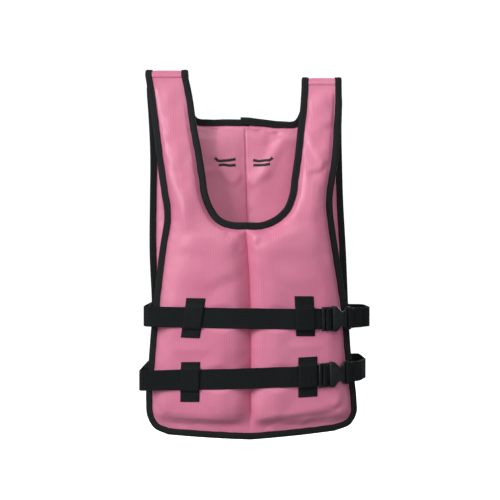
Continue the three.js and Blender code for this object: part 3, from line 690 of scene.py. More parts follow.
@dataclass(frozen=True)
class Pattern:
    """Sizes that the whole vest shares, in millimetres, and how a flat panel hangs."""

    body_length: float = 689.5
    half_width: float = 198.0
    strap_inner: float = 0.5
    hem_lean: float = 13.0
    shoulder_drop: float = 14.6
    fold_radius: float = 8.0
    torso_gap: float = 46.0
    side_bow: float = 23.0
    valley_drift: float = 3.6
    close_from: float = 0.62
    bow_up_to: float = 0.45
    lean_up_to: float = 0.33
    front_drop_from: float = 0.55
    back_drop_from: float = 0.8
    pad_thick: float = 34.0
    pad_round: float = 55.0
    cloth_edge: float = 2.6
    outer_share: float = 0.62
    clearance: float = 0.4
    side_bulge: float = 12.0
    land_at: float = 0.6
    slack: float = 0.6
    pad_top_end: float = 0.9
    tape_width: float = 13.0
    tape_wall: float = 1.4
    tape_margin: float = 1.5
    seam_down: float = 14.0
    webbing_width: float = 38.0
    webbing_thick: float = 2.0

    @property
    def tape_edge(self) -> float:
        """From the finished outline in to the cloth's own edge."""
        return self.tape_wall + self.clearance

    @property
    def flat_margin(self) -> float:
        """From the finished outline in to where the foam starts."""
        return self.tape_width + self.tape_margin

    @property
    def fold_thick(self) -> float:
        """Thickness of a strap where it folds over."""
        return self.cloth_edge + float(self.fill_at(1.0)) * (self.pad_thick - self.cloth_edge)

    @property
    def fold_stand(self) -> float:
        """Radius of a strap's middle sheet round the fold's axis."""
        return self.fold_radius + (1 - self.outer_share) * self.fold_thick

    @property
    def belt_stand(self) -> float:
        """Distance of a panel's middle sheet from the middle plane at the belts."""
        return self.torso_gap / 2 + (1 - self.outer_share) * self.pad_thick

    @property
    def seam_angle(self) -> float:
        """Angle of the shoulder seam round the fold, above the level of the axis."""
        outer = self.fold_radius + self.fold_thick
        return math.asin((outer - self.seam_down) / outer)

    def seam_up(self, side: Side) -> float:
        """Height share where a panel ends at the shoulder seam, measured along the cloth."""
        angle = self.seam_angle if side is Side.FRONT else math.pi - self.seam_angle
        return 1 + (angle * self.fold_stand - self.clearance / 2) / self.body_length

    @staticmethod
    def fill_at(up: Array | float) -> Array:
        """Share of the foam that fills a panel.

        Args:
            up: Height as a share of the body length.

        Returns:
            The share for each height.
        """
        heights = [0, 0.045, 0.070, 0.110, 0.620, 0.740, 0.820, 0.900, 1.0]
        fills = [0.02, 0.08, 0.70, 1.0, 1.0, 0.80, 0.48, 0.28, 0.12]
        return np.interp(up, heights, fills)

    def lean_at(self, up: Array | float) -> Array:
        """How far to the right a panel hangs at a height."""
        return self.hem_lean * np.minimum(1, (1 - np.minimum(up, 1)) / (1 - self.lean_up_to))

    def drop_at(self, side: Side, x: Array, up: Array) -> Array:
        """How much lower the cloth hangs on the right than on the left.

        Args:
            side: Which panel.
            x: Millimetres from the middle line.
            up: Height as a share of the body length.

        Returns:
            Millimetres up for each point.
        """
        start = self.front_drop_from if side is Side.FRONT else self.back_drop_from
        across = np.clip(x / (self.strap_inner * self.half_width), -1, 1)
        return -across * self.shoulder_drop / 2 * smoothstep(start, 1, up)

    def hung(self, side: Side, x: Array, up: Array, offset: Array | float) -> Array:
        """Places flat points of a panel's middle sheet, moved outward by offset.

        Args:
            side: Which panel.
            x: Millimetres from the middle line.
            up: Height along the cloth as a share of the body length.
            offset: Millimetres outward.

        Returns:
            The points in space, with a last axis of 3.
        """
        x, up, offset = np.broadcast_arrays(*(np.asarray(v, float) for v in (x, up, offset)))
        opened = 1 - smoothstep(self.close_from, 1, up)
        bow = self.side_bow * (1 - smoothstep(self.bow_up_to, 1, up))
        stand = self.fold_stand + (self.belt_stand - self.fold_stand) * opened
        stand = stand - bow * (x / self.half_width) ** 2 + offset
        drop = self.drop_at(side, x, up)
        turn = np.maximum(up - 1, 0) * self.body_length / self.fold_stand
        y = side.value * stand * np.cos(turn)
        z = -self.fold_radius - (1 - np.minimum(up, 1)) * self.body_length + stand * np.sin(turn) + drop
        return np.stack([x + self.lean_at(up), y, z], axis=-1)

    def middle_at(self, side: Side, up: Array | float) -> Array:
        """Where the sewn middle line runs at a height."""
        drift = self.valley_drift if side is Side.FRONT else 0.0
        return -drift * smoothstep(0.4, 0.6, up)

    def thick_at(self, up: Array | float, rise: Array | float) -> Array:
        """Thickness of a plain pad at a height, with the rise of its rounded edge."""
        return self.cloth_edge + (self.pad_thick - self.cloth_edge) * self.fill_at(up) * rise


def dome(distance: Array, radius: float) -> Array:
    """Rise of a rounded edge, 0 to 1, at a distance from it."""
    return np.sqrt(1 - (1 - np.clip(distance / radius, 0, 1)) ** 2)


FRONT_ROWS = (
    Row(0.007, 0.800, 0.820, lift=0.010),
    Row(0.024, 0.942, 0.982, lift=0.010),
    Row(0.056, 1.008, 1.042, lift=0.008),
    Row(0.098, 1.020, 1.041),
    Row(0.220, 0.991, 0.987),
    Row(0.348, 0.950, 0.950),
    Row(0.470, 0.890, 0.897),
    Row(0.535, 0.853, 0.866, 0.596, 0.0, 0.0),
    Row(0.568, 0.828, 0.851, 0.597, 0.149, 0.137),
    Row(0.600, 0.807, 0.837, 0.609, 0.254, 0.242),
    Row(0.634, 0.805, 0.827, 0.638, 0.327, 0.355),
    Row(0.668, 0.821, 0.829, 0.669, 0.366, 0.402),
    Row(0.722, 0.845, 0.861, 0.724, 0.393, 0.436),
    Row(0.785, 0.874, 0.901, 0.780, 0.421, 0.470),
    Row(0.860, 0.903, 0.927, 0.860, 0.469, 0.509),
    Row(0.940, 0.936, 0.955, 0.940, 0.504, 0.549),
    Row(Pattern().seam_up(Side.FRONT), 0.964, 0.961, Pattern().seam_up(Side.FRONT), 0.543, 0.568),
)
BACK_ROWS = (
    Row(0.012, 0.800, 0.820),
    Row(0.030, 0.942, 0.965),
    Row(0.060, 1.003, 1.018),
    Row(0.100, 1.014, 1.020),
    Row(0.220, 1.005, 0.995),
    Row(0.348, 0.985, 0.985),
    Row(0.521, 0.992, 0.978),
    Row(0.660, 0.981, 0.970),
    Row(0.790, 0.963, 0.968, 0.896, 0.0, 0.0),
    Row(0.830, 0.961, 0.967, 0.895, 0.190, 0.180),
    Row(0.860, 0.962, 0.968, 0.893, 0.360, 0.370),
    Row(0.888, 0.964, 0.970, 0.897, 0.480, 0.500),
    Row(0.918, 0.967, 0.975, 0.924, 0.525, 0.552),
    Row(0.962, 0.973, 0.980, 0.964, 0.540, 0.572),
    Row(1.000, 0.968, 0.970, 1.000, 0.548, 0.576),
    Row(Pattern().seam_up(Side.BACK), 0.964, 0.961, Pattern().seam_up(Side.BACK), 0.543, 0.568),
)


@dataclass(frozen=True)
class Fold:
    """A crease or ridge that the hanging cloth shows, as a line of x and z in millimetres.

    A positive rise stands out of the skin and a negative one sinks in. lean moves the height from one
    side of the line to the other, so that the fold catches light on one flank.
    """

    skin: Skin
    line: tuple[tuple[float, float], ...]
    width: float
    rise: float
    lean: float = 0.0
    fade: float = 0.25

    def height(self, spots: Array) -> Array:
        """Rise of the cloth at places x and z.

        Args:
            spots: n by 2 coordinates.

        Returns:
            Millimetres outward for each place.
        """
        line = smooth_line(np.array(self.line), 6) if len(self.line) > 2 else np.array(self.line, float)
        low, high = line.min(0) - 4 * self.width, line.max(0) + 4 * self.width
        near = np.all((spots > low) & (spots < high), axis=1)
        out = np.zeros(len(spots))
        if not near.any():
            return out
        gap, signed, share = distance_to_line(spots[near], line)
        ease = smoothstep(0, self.fade, share) * smoothstep(0, self.fade, 1 - share)
        core = np.exp(-((gap / self.width) ** 2))
        flank = (signed / self.width) * np.exp(-((gap / (1.6 * self.width)) ** 2))
        out[near] = ease * (self.rise * core + self.lean * flank)
        return out


FRONT_FOLDS = (
    Fold(Skin.OUTER, ((-34, -303), (-14, -320), (1, -338)), 7, -2.2, 1.6, 0.2),
    Fold(Skin.OUTER, ((54, -300), (35, -318), (19, -335)), 7, -2.2, -1.6, 0.2),
    Fold(Skin.OUTER, ((112, -112), (126, -146), (146, -191)), 7, -2.0, 1.6),
    Fold(Skin.OUTER, ((118, -196), (146, -191), (166, -168)), 6, -2.4, 1.2),
    Fold(Skin.OUTER, ((98, -132), (104, -152), (108, -176)), 6, 1.6, 0.8),
    Fold(Skin.OUTER, ((132, -30), (134, -66), (140, -112)), 20, 0.0, 4.2, 0.2),
    Fold(Skin.OUTER, ((-156, -108), (-146, -150), (-132, -190)), 9, 1.2, 1.0),
    Fold(Skin.OUTER, ((-98, -150), (-112, -176), (-118, -206)), 9, -1.2, 0.8),
    Fold(Skin.OUTER, ((-74, -418), (-43, -406), (-12, -388)), 10, -1.1, 0.9),
    Fold(Skin.OUTER, ((44, -362), (86, -350), (140, -362)), 12, -0.9, 0.9),
    Fold(Skin.OUTER, ((60, -402), (100, -392), (150, -400)), 12, 0.8, -0.6),
    Fold(Skin.OUTER, ((-150, -352), (-110, -345), (-70, -356)), 12, -0.8, 0.7),
    Fold(Skin.OUTER, ((14, -664), (49, -650), (90, -643), (142, -636), (196, -621)), 6, 1.9, 1.2, 0.12),
    Fold(Skin.OUTER, ((30, -672), (60, -661), (100, -654), (150, -648), (190, -636)), 6, -1.8, 0.0, 0.12),
    Fold(Skin.OUTER, ((-160, -645), (-132, -657), (-70, -660), (-4, -668)), 6, -1.6, 1.2, 0.12),
    Fold(Skin.OUTER, ((-174, -606), (-164, -628), (-150, -652)), 6, -2.0, 1.2),
    Fold(Skin.OUTER, ((36, -680), (60, -663), (84, -656)), 5, -1.4, 0.8),
    Fold(Skin.OUTER, ((104, -674), (120, -660), (132, -652)), 5, 1.2, 0.8),
    Fold(Skin.OUTER, ((196, -600), (188, -622), (170, -645)), 6, -1.6, -1.0),
    Fold(Skin.OUTER, ((-96, -676), (-88, -664), (-70, -656)), 5, -1.0, 0.6),
    Fold(Skin.INNER, ((-60, -330), (-10, -318), (50, -332)), 9, -1.4, 0.8),
    Fold(Skin.INNER, ((-100, -560), (-30, -545), (60, -562)), 12, 1.0, 0.8),
)
BACK_FOLDS = (
    Fold(Skin.INNER, ((-54, -88), (-53, -118), (-49, -150)), 9, -1.6, 2.0),
    Fold(Skin.INNER, ((-50, -172), (-22, -206), (0, -184)), 6, 1.8, 0.8, 0.15),
    Fold(Skin.INNER, ((-82, -184), (-64, -180), (-46, -172)), 6, 1.6, -1.2),
    Fold(Skin.INNER, ((96, -92), (82, -112), (64, -140), (48, -170), (30, -206)), 12, 4.2, 1.2, 0.2),
    Fold(Skin.INNER, ((70, -100), (60, -124), (38, -142)), 9, -2.6, 1.2),
    Fold(Skin.INNER, ((4, -92), (16, -103), (40, -98)), 5, -2.0, 1.2, 0.2),
    Fold(Skin.INNER, ((48, -100), (58, -112), (55, -128)), 5, 2.2, 1.2),
    Fold(Skin.INNER, ((8, -186), (16, -208), (36, -196), (56, -178)), 6, 1.6, 0.6, 0.15),
    Fold(Skin.INNER, ((5, -196), (7, -240), (8, -300)), 9, -2.2, 0.0, 0.3),
    Fold(Skin.OUTER, ((-60, -172), (-30, -205), (-12, -240)), 8, -1.6, 1.0),
    Fold(Skin.OUTER, ((60, -172), (34, -206), (14, -244)), 8, -1.6, -1.0),
    Fold(Skin.OUTER, ((-120, -120), (-90, -150), (-60, -166)), 9, 1.4, 0.8),
    Fold(Skin.OUTER, ((122, -128), (92, -152), (62, -168)), 9, 1.4, -0.8),
    Fold(Skin.OUTER, ((-150, -420), (-90, -408), (-20, -424)), 12, -1.2, 1.0),
    Fold(Skin.OUTER, ((20, -500), (90, -486), (160, -500)), 12, -1.0, 0.9),
    Fold(Skin.OUTER, ((-160, -640), (-90, -654), (0, -664), (100, -652), (186, -640)), 7, -2.2, 1.6, 0.12),
    Fold(Skin.OUTER, ((-170, -300), (-130, -318), (-80, -316)), 11, -1.2, 0.9),
    Fold(Skin.OUTER, ((70, -322), (120, -316), (176, -296)), 11, -1.2, 0.9),
)


@dataclass
class Panel:
    """One padded panel: two coated skins over foam halves, sewn together along the middle."""

    pattern: Pattern
    side: Side
    rows: tuple[Row, ...]
    folds: tuple[Fold, ...]
    channel_left: float = 31.0
    channel_right: float = 22.0
    channel_steep: float = 0.35
    channel_depth: float = 0.94
    inner_depth: float = 0.5
    crease_width: float = 3.2
    crease_depth: float = 2.4
    inner_crease: float = 0.5
    edge_ease: float = 6.0
    cover_round: float = 35.0
    pucker: float = 0.7
    swell: float = 4.0
    most_swell: float = 5.0
    frames: int = 20
    iron: int = 4
    lower_rows: int = 100
    upper_rows: int = 84
    columns: int = 56
    belts: list[Belt] = field(default_factory=list)
    keepers: list[Keeper] = field(default_factory=list)

    def outline(self, lower: int, upper: int, columns: int) -> dict[str, Array]:
        """Flat outline of the panel, from the seam down the left side, along the hem and up the right.

        Args:
            lower: Steps of each side below the neck's row.
            upper: Steps above it.
            columns: Steps of half the hem.

        Returns:
            edge and neck: outline points in millimetres. edge_in and neck_in: the same lines moved in to
            where the foam starts. edge_rim and neck_rim: the cloth's own edge under the tape.
        """
        length, width = self.pattern.body_length, self.pattern.half_width
        first = next(i for i, row in enumerate(self.rows) if row.in_up is not None)

        def outer(hand: int) -> Array:
            """Outer side of the left half, -1, or the right one, 1, from the hem up.

            Args:
                hand: Which half.

            Returns:
                Points in millimetres.
            """
            knots = [(-row.left * width, row.up * length) for row in self.rows]
            if hand > 0:
                knots = [(row.right * width, (row.up + row.lift) * length) for row in self.rows]
            line, cut = smooth_line(np.array(knots)), first * 24
            return np.vstack([even_steps(line[: cut + 1], lower)[:-1], even_steps(line[cut:], upper)])

        def inner(hand: int) -> Array:
            """Neck side of the left half, -1, or the right one, 1, from the middle up.

            Args:
                hand: Which half.

            Returns:
                Points in millimetres.
            """
            knots = [
                (hand * (row.in_right if hand > 0 else row.in_left) * width, row.in_up * length)
                for row in self.rows[first:]
            ]
            knots[0] = (float(self.pattern.middle_at(self.side, knots[0][1] / length)), knots[0][1])
            return even_steps(smooth_line(np.array(knots)), upper)

        left, right = outer(-1), outer(1)
        share = np.linspace(0, 1, columns + 1)[1:, None]
        edge = np.vstack([left[::-1], left[0] * (1 - share), (right[0] * (1 - share))[:-1][::-1], right])
        neck = np.vstack([inner(-1)[::-1], inner(1)[1:]])
        lines = {"edge": edge, "neck": neck}
        for name, line, hand in (("edge", edge, 1), ("neck", neck, -1)):
            run = np.gradient(line, axis=0)
            run /= np.linalg.norm(run, axis=1)[:, None]
            into = np.stack([-run[:, 1], run[:, 0]], axis=1) * hand
            into[0] = (-np.sign(line[0, 0]) * hand, 0)
            into[-1] = (-np.sign(line[-1, 0]) * hand, 0)
            lines[name + "_rim"] = line + into * self.pattern.tape_edge
            lines[name + "_in"] = line + into * self.pattern.flat_margin
            lines[name + "_into"] = into
        return lines

    def reach(self, flat: Array, lines: dict[str, Array]) -> Array:
        """Distance of flat points from where the foam starts.

        Args:
            flat: n by 2 millimetres.
            lines: The panel's outline.

        Returns:
            Millimetres for each point.
        """
        edge = distance_to_line(flat, lines["edge_in"][::3])[0]
        neck = distance_to_line(flat, lines["neck_in"][::2])[0]
        return np.minimum(edge, neck)

    def strip_face(self, x: Array, up: float, width: float, end: float) -> Array:
        """Outermost y of the plain pad under a level strip of webbing.

        Args:
            x: Flat millimetres from the middle line.
            up: Height of the strip's middle as a share of the body length.
            width: The strip's width.
            end: Flat x from which the pad counts as flat cloth.

        Returns:
            y for each x.
        """
        p, lines = self.pattern, self.outline(*ROUGH_STEPS)
        best = np.full(len(x), -np.inf)
        for level in (-1, 0, 1):
            at = up + level * width / 2 / p.body_length
            flat = np.stack([x, np.full(len(x), at * p.body_length)], axis=1)
            rise = np.where(np.abs(x) < end, dome(self.reach(flat, lines), p.pad_round), 0)
            y = p.hung(self.side, x, at, p.outer_share * p.thick_at(at, rise))[:, 1]
            best = np.maximum(best, y * self.side.value)
        return best * self.side.value

    def aside(self, flat: Array) -> Array:
        """Millimetres of flat points to the right of the sewn middle line."""
        return flat[:, 0] - self.pattern.middle_at(self.side, flat[:, 1] / self.pattern.body_length)

    def channel(self, flat: Array) -> Array:
        """Share by which the sewn middle line draws the panel thin.

        Args:
            flat: n by 2 millimetres.

        Returns:
            1 on the line and 0 past its flanks, for each point.
        """
        off = self.aside(flat)
        share = np.clip(np.where(off < 0, -off / self.channel_left, off / self.channel_right), 0, 1)
        steep = self.channel_steep
        bend = np.maximum(share - steep, 0)
        return 1 - (share - bend**2 / (2 * (1 - steep))) / (0.5 + steep / 2)

    def thickness(self, flat: Array, reach: Array, depth: float) -> Array:
        """Thickness of the filled panel at flat points.

        Args:
            flat: n by 2 millimetres.
            reach: Their distance from where the foam starts.
            depth: Share of the thickness that the channel takes.

        Returns:
            Millimetres for each point.
        """
        up = flat[:, 1] / self.pattern.body_length
        channel = 1 - depth * self.channel(flat)
        lower_end = np.interp(
            up, [0, 0.03, 0.041, 0.053, 0.066, 0.08, 0.098, 0.11], [0.02, 0.05, 0.12, 0.38, 0.70, 0.91, 0.99, 1.0])
        fill = np.where(up < 0.11, lower_end, self.pattern.fill_at(up))
        foam = (self.pattern.pad_thick - self.pattern.cloth_edge) * fill
        foam = foam * (1 - 0.8 * smoothstep(0.94, 0.985, up))
        start = 0.55 + 0.45 * smoothstep(0, self.edge_ease, reach)
        return self.pattern.cloth_edge + foam * dome(reach, self.cover_round) * channel * start

    def shell(self, lower: int, upper: int, columns: int) -> Shell:
        """Lays out both skins as grids, with the flat margins and the closed rims.

        Args:
            lower: Rows below the neck.
            upper: Rows beside the neck.
            columns: Columns of each half.

        Returns:
            flat: n by 2 millimetres. skin: 0 for the outer skin and 1 for the inner. reach: distance from where
            the foam starts. is_rim: whether a point is on the flat margin. faces by point number. grids:
            point numbers of each skin and half.
        """
        lines = self.outline(lower, upper, columns)
        count = lower + upper + 1
        edge_in, neck_in = lines["edge_in"], lines["neck_in"]
        hem_middle = count - 1 + columns
        climb = np.linspace(0, 1, lower + 1)
        seam_y = edge_in[hem_middle, 1] + (neck_in[upper, 1] - edge_in[hem_middle, 1]) * climb
        seam = np.stack([self.pattern.middle_at(self.side, seam_y / self.pattern.body_length), seam_y], axis=1)
        even = np.linspace(0, 1, columns + 1)
        spread = 0.3 * even + 0.7 * (0.5 - 0.5 * np.cos(math.pi * even))
        flats: list[Array] = []
        skins: list[Array] = []
        faces: list[tuple[int, ...]] = []
        grids: dict[tuple[int, int], Array] = {}
        base = 0

        def store(points: Array, skin: int) -> Array:
            """Adds flat points to a skin.

            Args:
                points: n by 2 millimetres.
                skin: 0 for the outer skin and 1 for the inner.

            Returns:
                Their numbers.
            """
            nonlocal base
            numbers = np.arange(base, base + len(points))
            flats.append(points)
            skins.append(np.full(len(points), skin))
            base += len(points)
            return numbers

        def join(grid: Array) -> None:
            """Adds the faces of a grid of point numbers."""
            faces.extend(zip(*(part.ravel() for part in (grid[:-1, :-1], grid[:-1, 1:], grid[1:, 1:], grid[1:, :-1]))))

        rims: dict[tuple[str, int], Array] = {}
        for skin in (0, 1):
            for hand in (-1, 1):
                half = edge_in[: hem_middle + 1] if hand < 0 else edge_in[: hem_middle - 1 : -1]
                side_line, hem = half[count - 1 :: -1], half[count - 1 :]
                neck_line = neck_in[upper::-1] if hand < 0 else neck_in[upper:]
                inner = np.vstack([seam[:-1], neck_line])
                rows = side_line[:, None] * (1 - spread)[None, :, None] + inner[:, None] * spread[None, :, None]
                rows[0] = hem
                grids[skin, hand] = store(rows.reshape(-1, 2), skin).reshape(count, columns + 1)
                join(grids[skin, hand])
            for name in ("edge", "neck"):
                inset = store(lines[name + "_in"], skin)
                rim = store(lines[name + "_rim"], skin)
                join(np.stack([inset, rim]))
                rims[name, skin] = rim
        for name in ("edge", "neck"):
            join(np.stack([rims[name, 0], rims[name, 1]]))
        for hand, at in ((-1, 0), (1, -1)):
            join(np.stack([
                np.concatenate([[rims["edge", skin][at]], grids[skin, hand][-1], [rims["neck", skin][at]]])
                for skin in (0, 1)
            ]))
        flat, is_rim = np.vstack(flats), np.ones(base, bool)
        is_rim[np.concatenate([grid.ravel() for grid in grids.values()])] = False
        return {
            "flat": flat, "skin": np.concatenate(skins), "reach": self.reach(flat, lines), "is_rim": is_rim,
            "faces": faces, "grids": grids,
        }

    def place(self, shell: Shell) -> Array:
        """Puts a layout's points on the hanging panel's skins.

        Args:
            shell: The layout.

        Returns:
            n by 3 millimetres.
        """
        flat, skin, reach = shell["flat"], shell["skin"], shell["reach"]
        is_rim = shell["is_rim"] | (reach < 1e-6)
        up = flat[:, 1] / self.pattern.body_length
        outer = self.thickness(flat, reach, self.channel_depth)
        inner = self.thickness(flat, reach, self.inner_depth)
        thick = np.where(is_rim, self.pattern.cloth_edge, np.where(skin == 0, outer, inner))
        share = np.where(skin == 0, self.pattern.outer_share, self.pattern.outer_share - 1)
        return self.pattern.hung(self.side, flat[:, 0], up, share * thick)

    @staticmethod
    def sewn(shell: Shell, points: Array) -> tuple[Array, Array, list[tuple[int, ...]]]:
        """Joins a layout's points that lie in one place.

        Args:
            shell: The layout.
            points: Its placed points.

        Returns:
            The separate points, the number of each given point among them, and the faces that are left.
        """
        joined, number = weld(points)
        faces = [tuple(dict.fromkeys(number[list(face)])) for face in shell["faces"]]
        return joined, number, [face for face in faces if len(face) > 2]

    def relax(self, shell: Shell, points: Array, free: Array) -> Array:
        """Lets the coarse shell swell as cloth under pressure.

        Args:
            shell: The coarse layout.
            points: Its placed points.
            free: How freely each point moves, 0 where it is sewn.

        Returns:
            How far each point moves, in millimetres.
        """
        joined, number, faces = self.sewn(shell, points)
        work = make_mesh("swelling_cover", joined, faces, bpy.data.materials[0])
        slack = np.ones(len(joined))
        np.minimum.at(slack, number, free)
        pinned = work.vertex_groups.new(name="sewn")
        for i, value in enumerate(slack):
            pinned.add([i], float(1 - value), "REPLACE")
        cloth = work.modifiers.new("cover", "CLOTH")
        settings = cloth.settings
        settings.quality = 6
        settings.mass = 0.25
        settings.use_pressure = True
        settings.uniform_pressure_force = self.swell
        settings.tension_stiffness = 18
        settings.compression_stiffness = 18
        settings.bending_stiffness = 0.6
        settings.shrink_min = -0.02
        settings.effector_weights.gravity = 0
        settings.vertex_group_mass = "sewn"
        settings.pin_stiffness = 1.0
        cloth.collision_settings.use_collision = False
        cloth.collision_settings.use_self_collision = False
        cloth.point_cache.frame_start = 1
        cloth.point_cache.frame_end = self.frames
        scene = bpy.context.scene
        for frame in range(1, self.frames + 1):
            scene.frame_set(frame)
        moved = work.evaluated_get(bpy.context.evaluated_depsgraph_get()).data
        after = np.zeros(len(joined) * 3)
        moved.vertices.foreach_get("co", after)
        shift = after.reshape(-1, 3) / MM - joined
        scene.frame_set(1)
        mesh = work.data
        bpy.data.objects.remove(work)
        bpy.data.meshes.remove(mesh)
        return shift[number]

    def build(self, finishes: Finishes) -> bpy.types.Object:
        """Makes the panel's cover.

        Args:
            finishes: The materials.

        Returns:
            The finished object.
        """
        shell = self.shell(self.lower_rows, self.upper_rows, self.columns)
        flat, skin = shell["flat"], shell["skin"]
        points = self.place(shell)
        up = flat[:, 1] / self.pattern.body_length
        hold = smoothstep(0, 26, shell["reach"]) * (1 - smoothstep(0.93, 0.99, up)) * ~shell["is_rim"]
        calm = self.calm(flat, skin)
        points += self.swollen(shell) * (hold * calm * (1 - 0.9 * self.channel(flat)))[:, None]
        outward = self.side.value * np.where(skin == 0, 1, -1)
        points[:, 1] += calm * outward * self.surface_play(shell, points, hold)
        points = self.press_under_belts(points, skin)
        points = self.press_under_keepers(points, flat, skin)
        joined, number, faces = self.sewn(shell, points)
        uv = np.zeros((len(joined), 2))
        uv[number] = flat
        name = self.side.name.lower()
        piece = make_mesh(name + "_cover", joined, faces, finishes.cloth, uv)
        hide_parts(name + "_panel")
        return piece

    def swollen(self, shell: Shell) -> Array:
        """Movement of the fine shell's points, read from a coarse shell that swells.

        Args:
            shell: The fine layout.
        Returns:
            n by 3 millimetres.
        """
        coarse = self.shell(self.lower_rows // 2, self.upper_rows // 2, self.columns // 2)
        free = smoothstep(0, 12, coarse["reach"]) * smoothstep(0, 7, np.abs(self.aside(coarse["flat"])))
        shift = self.relax(coarse, self.place(coarse), free * ~coarse["is_rim"])
        size = np.linalg.norm(shift, axis=1)[:, None]
        shift = shift * np.minimum(1, self.most_swell / np.maximum(size, 1e-6))
        fine = np.zeros((len(shell["flat"]), 3))
        for key, numbers in shell["grids"].items():
            rough = shift[coarse["grids"][key].ravel()].reshape(*coarse["grids"][key].shape, 3)
            for _ in range(self.iron):
                rough[1:-1] = (rough[:-2] + 2 * rough[1:-1] + rough[2:]) / 4
                rough[:, 1:-1] = (rough[:, :-2] + 2 * rough[:, 1:-1] + rough[:, 2:]) / 4
            rows, columns = numbers.shape
            r = np.linspace(0, rough.shape[0] - 1, rows)
            c = np.linspace(0, rough.shape[1] - 1, columns)
            r0 = np.minimum(r.astype(int), rough.shape[0] - 2)
            c0 = np.minimum(c.astype(int), rough.shape[1] - 2)
            tr, tc = (r - r0)[:, None, None], (c - c0)[None, :, None]
            low = rough[r0][:, c0] * (1 - tc) + rough[r0][:, c0 + 1] * tc
            high = rough[r0 + 1][:, c0] * (1 - tc) + rough[r0 + 1][:, c0 + 1] * tc
            fine[numbers.ravel()] = (low * (1 - tr) + high * tr).reshape(-1, 3)
        return fine

    def surface_play(self, shell: Shell, points: Array, hold: Array) -> Array:
        """Height of the folds, the sewn crease, seam puckers and slow waves on the skins.

        Args:
            shell: The layout.
            points: Placed points.
            hold: How freely each point moves.

        Returns:
            Millimetres outward for each point.
        """
        flat, skin, reach = shell["flat"], shell["skin"], shell["reach"]
        spots = points[:, [0, 2]]
        height = np.zeros(len(flat))
        for fold in self.folds:
            on = skin == fold.skin.value
            height[on] += fold.height(spots[on])
        off = np.abs(self.aside(flat))
        foam = self.pattern.fill_at(flat[:, 1] / self.pattern.body_length)
        crease = np.exp(-((off / self.crease_width) ** 2)) * smoothstep(0, 8, reach)
        height -= self.crease_depth * crease * np.where(skin == 0, 1, self.inner_crease) * (0.3 + 0.7 * foam)
        edge = np.exp(-(((reach - 7) / 6) ** 2)) * smoothstep(0, 3, reach)
        run = flat[:, 1] * 0.9 + flat[:, 0] * 0.6
        height += self.pucker * edge * np.sin(run / 4.3 + 2.1 * np.sin(run / 23)) * (0.4 + 0.6 * np.sin(run / 37) ** 2)
        near = np.exp(-(((off - 7) / 6) ** 2)) * foam
        height += self.pucker * 0.6 * near * np.sin(flat[:, 1] / 5.1 + 1.7 * np.sin(flat[:, 1] / 31))
        source = np.random.default_rng(SEED + self.side.value)
        for _ in range(9):
            angle = source.uniform(0, math.pi)
            length = source.uniform(60, 150)
            phase = source.uniform(0, 2 * math.pi, 2)
            ahead = (flat[:, 0] * math.cos(angle) + flat[:, 1] * math.sin(angle)) / length * 2 * math.pi
            height += 0.22 * np.sin(ahead + phase[0] + skin * 1.3) * hold
        return height * smoothstep(0, 5, reach)

    def calm(self, flat: Array, skin: Array) -> Array:
        """Share by which the skin may move: little beside the keepers, which hold the outer skin down.

        Args:
            flat: Flat points.
            skin: Skin of each point.

        Returns:
            The share for each point.
        """
        out = np.ones(len(flat))
        for keeper in self.keepers:
            gap = keeper.place_of(flat)[2]
            out = np.minimum(out, np.where(skin == 0, 0.12 + 0.88 * smoothstep(0, 48, gap), 1))
        return out

    def press_under_keepers(self, points: Array, flat: Array, skin: Array) -> Array:
        """Keeps the outer skin under the keepers that are sewn to it.

        Args:
            points: Placed points.
            flat: Flat points.
            skin: Skin of each point.

        Returns:
            The points, moved in where a keeper lies.
        """
        out = points.copy()
        for keeper in self.keepers:
            x, z, gap = keeper.place_of(flat)
            near = np.nonzero((gap < 12) & (skin == 0))[0]
            share = np.clip(x[near] / keeper.width, -0.5, 0.5)
            depth = np.clip(z[near], keeper.shift - keeper.tall / 2, keeper.shift + keeper.tall / 2)
            rest = keeper.surface(share, depth, 0.0, is_over=False)[:, 1]
            room = 0.3 - 0.35 * np.clip(gap[near], 0, None)
            out[near, 1] = np.maximum(out[near, 1], rest + room)
        return out

    def press_under_belts(self, points: Array, skin: Array) -> Array:
        """Keeps the outer skin under the belts, which press into it.

        Args:
            points: Placed points.
            skin: Skin of each point.

        Returns:
            The points, moved in where a belt lies.
        """
        out = points.copy()
        for belt in self.belts:
            half = self.pattern.webbing_width / 2
            run = belt.lying_run(self.side)
            limit = np.interp(points[:, 0], run[:, 0], run[:, 1])
            off = np.abs(points[:, 2] - belt.height_at(points[:, 0])) - half
            room = 0.5 - 0.5 * np.clip(off, 0, None)
            inside = (points[:, 0] > run[0, 0]) & (points[:, 0] < run[-1, 0]) & (off < 14) & (skin == 0)
            depth = self.side.value * limit - room
            standing = self.side.value * out[:, 1]
            out[:, 1] = np.where(inside & (standing > depth), self.side.value * depth, out[:, 1])
        return out


# Binding, belts and keepers


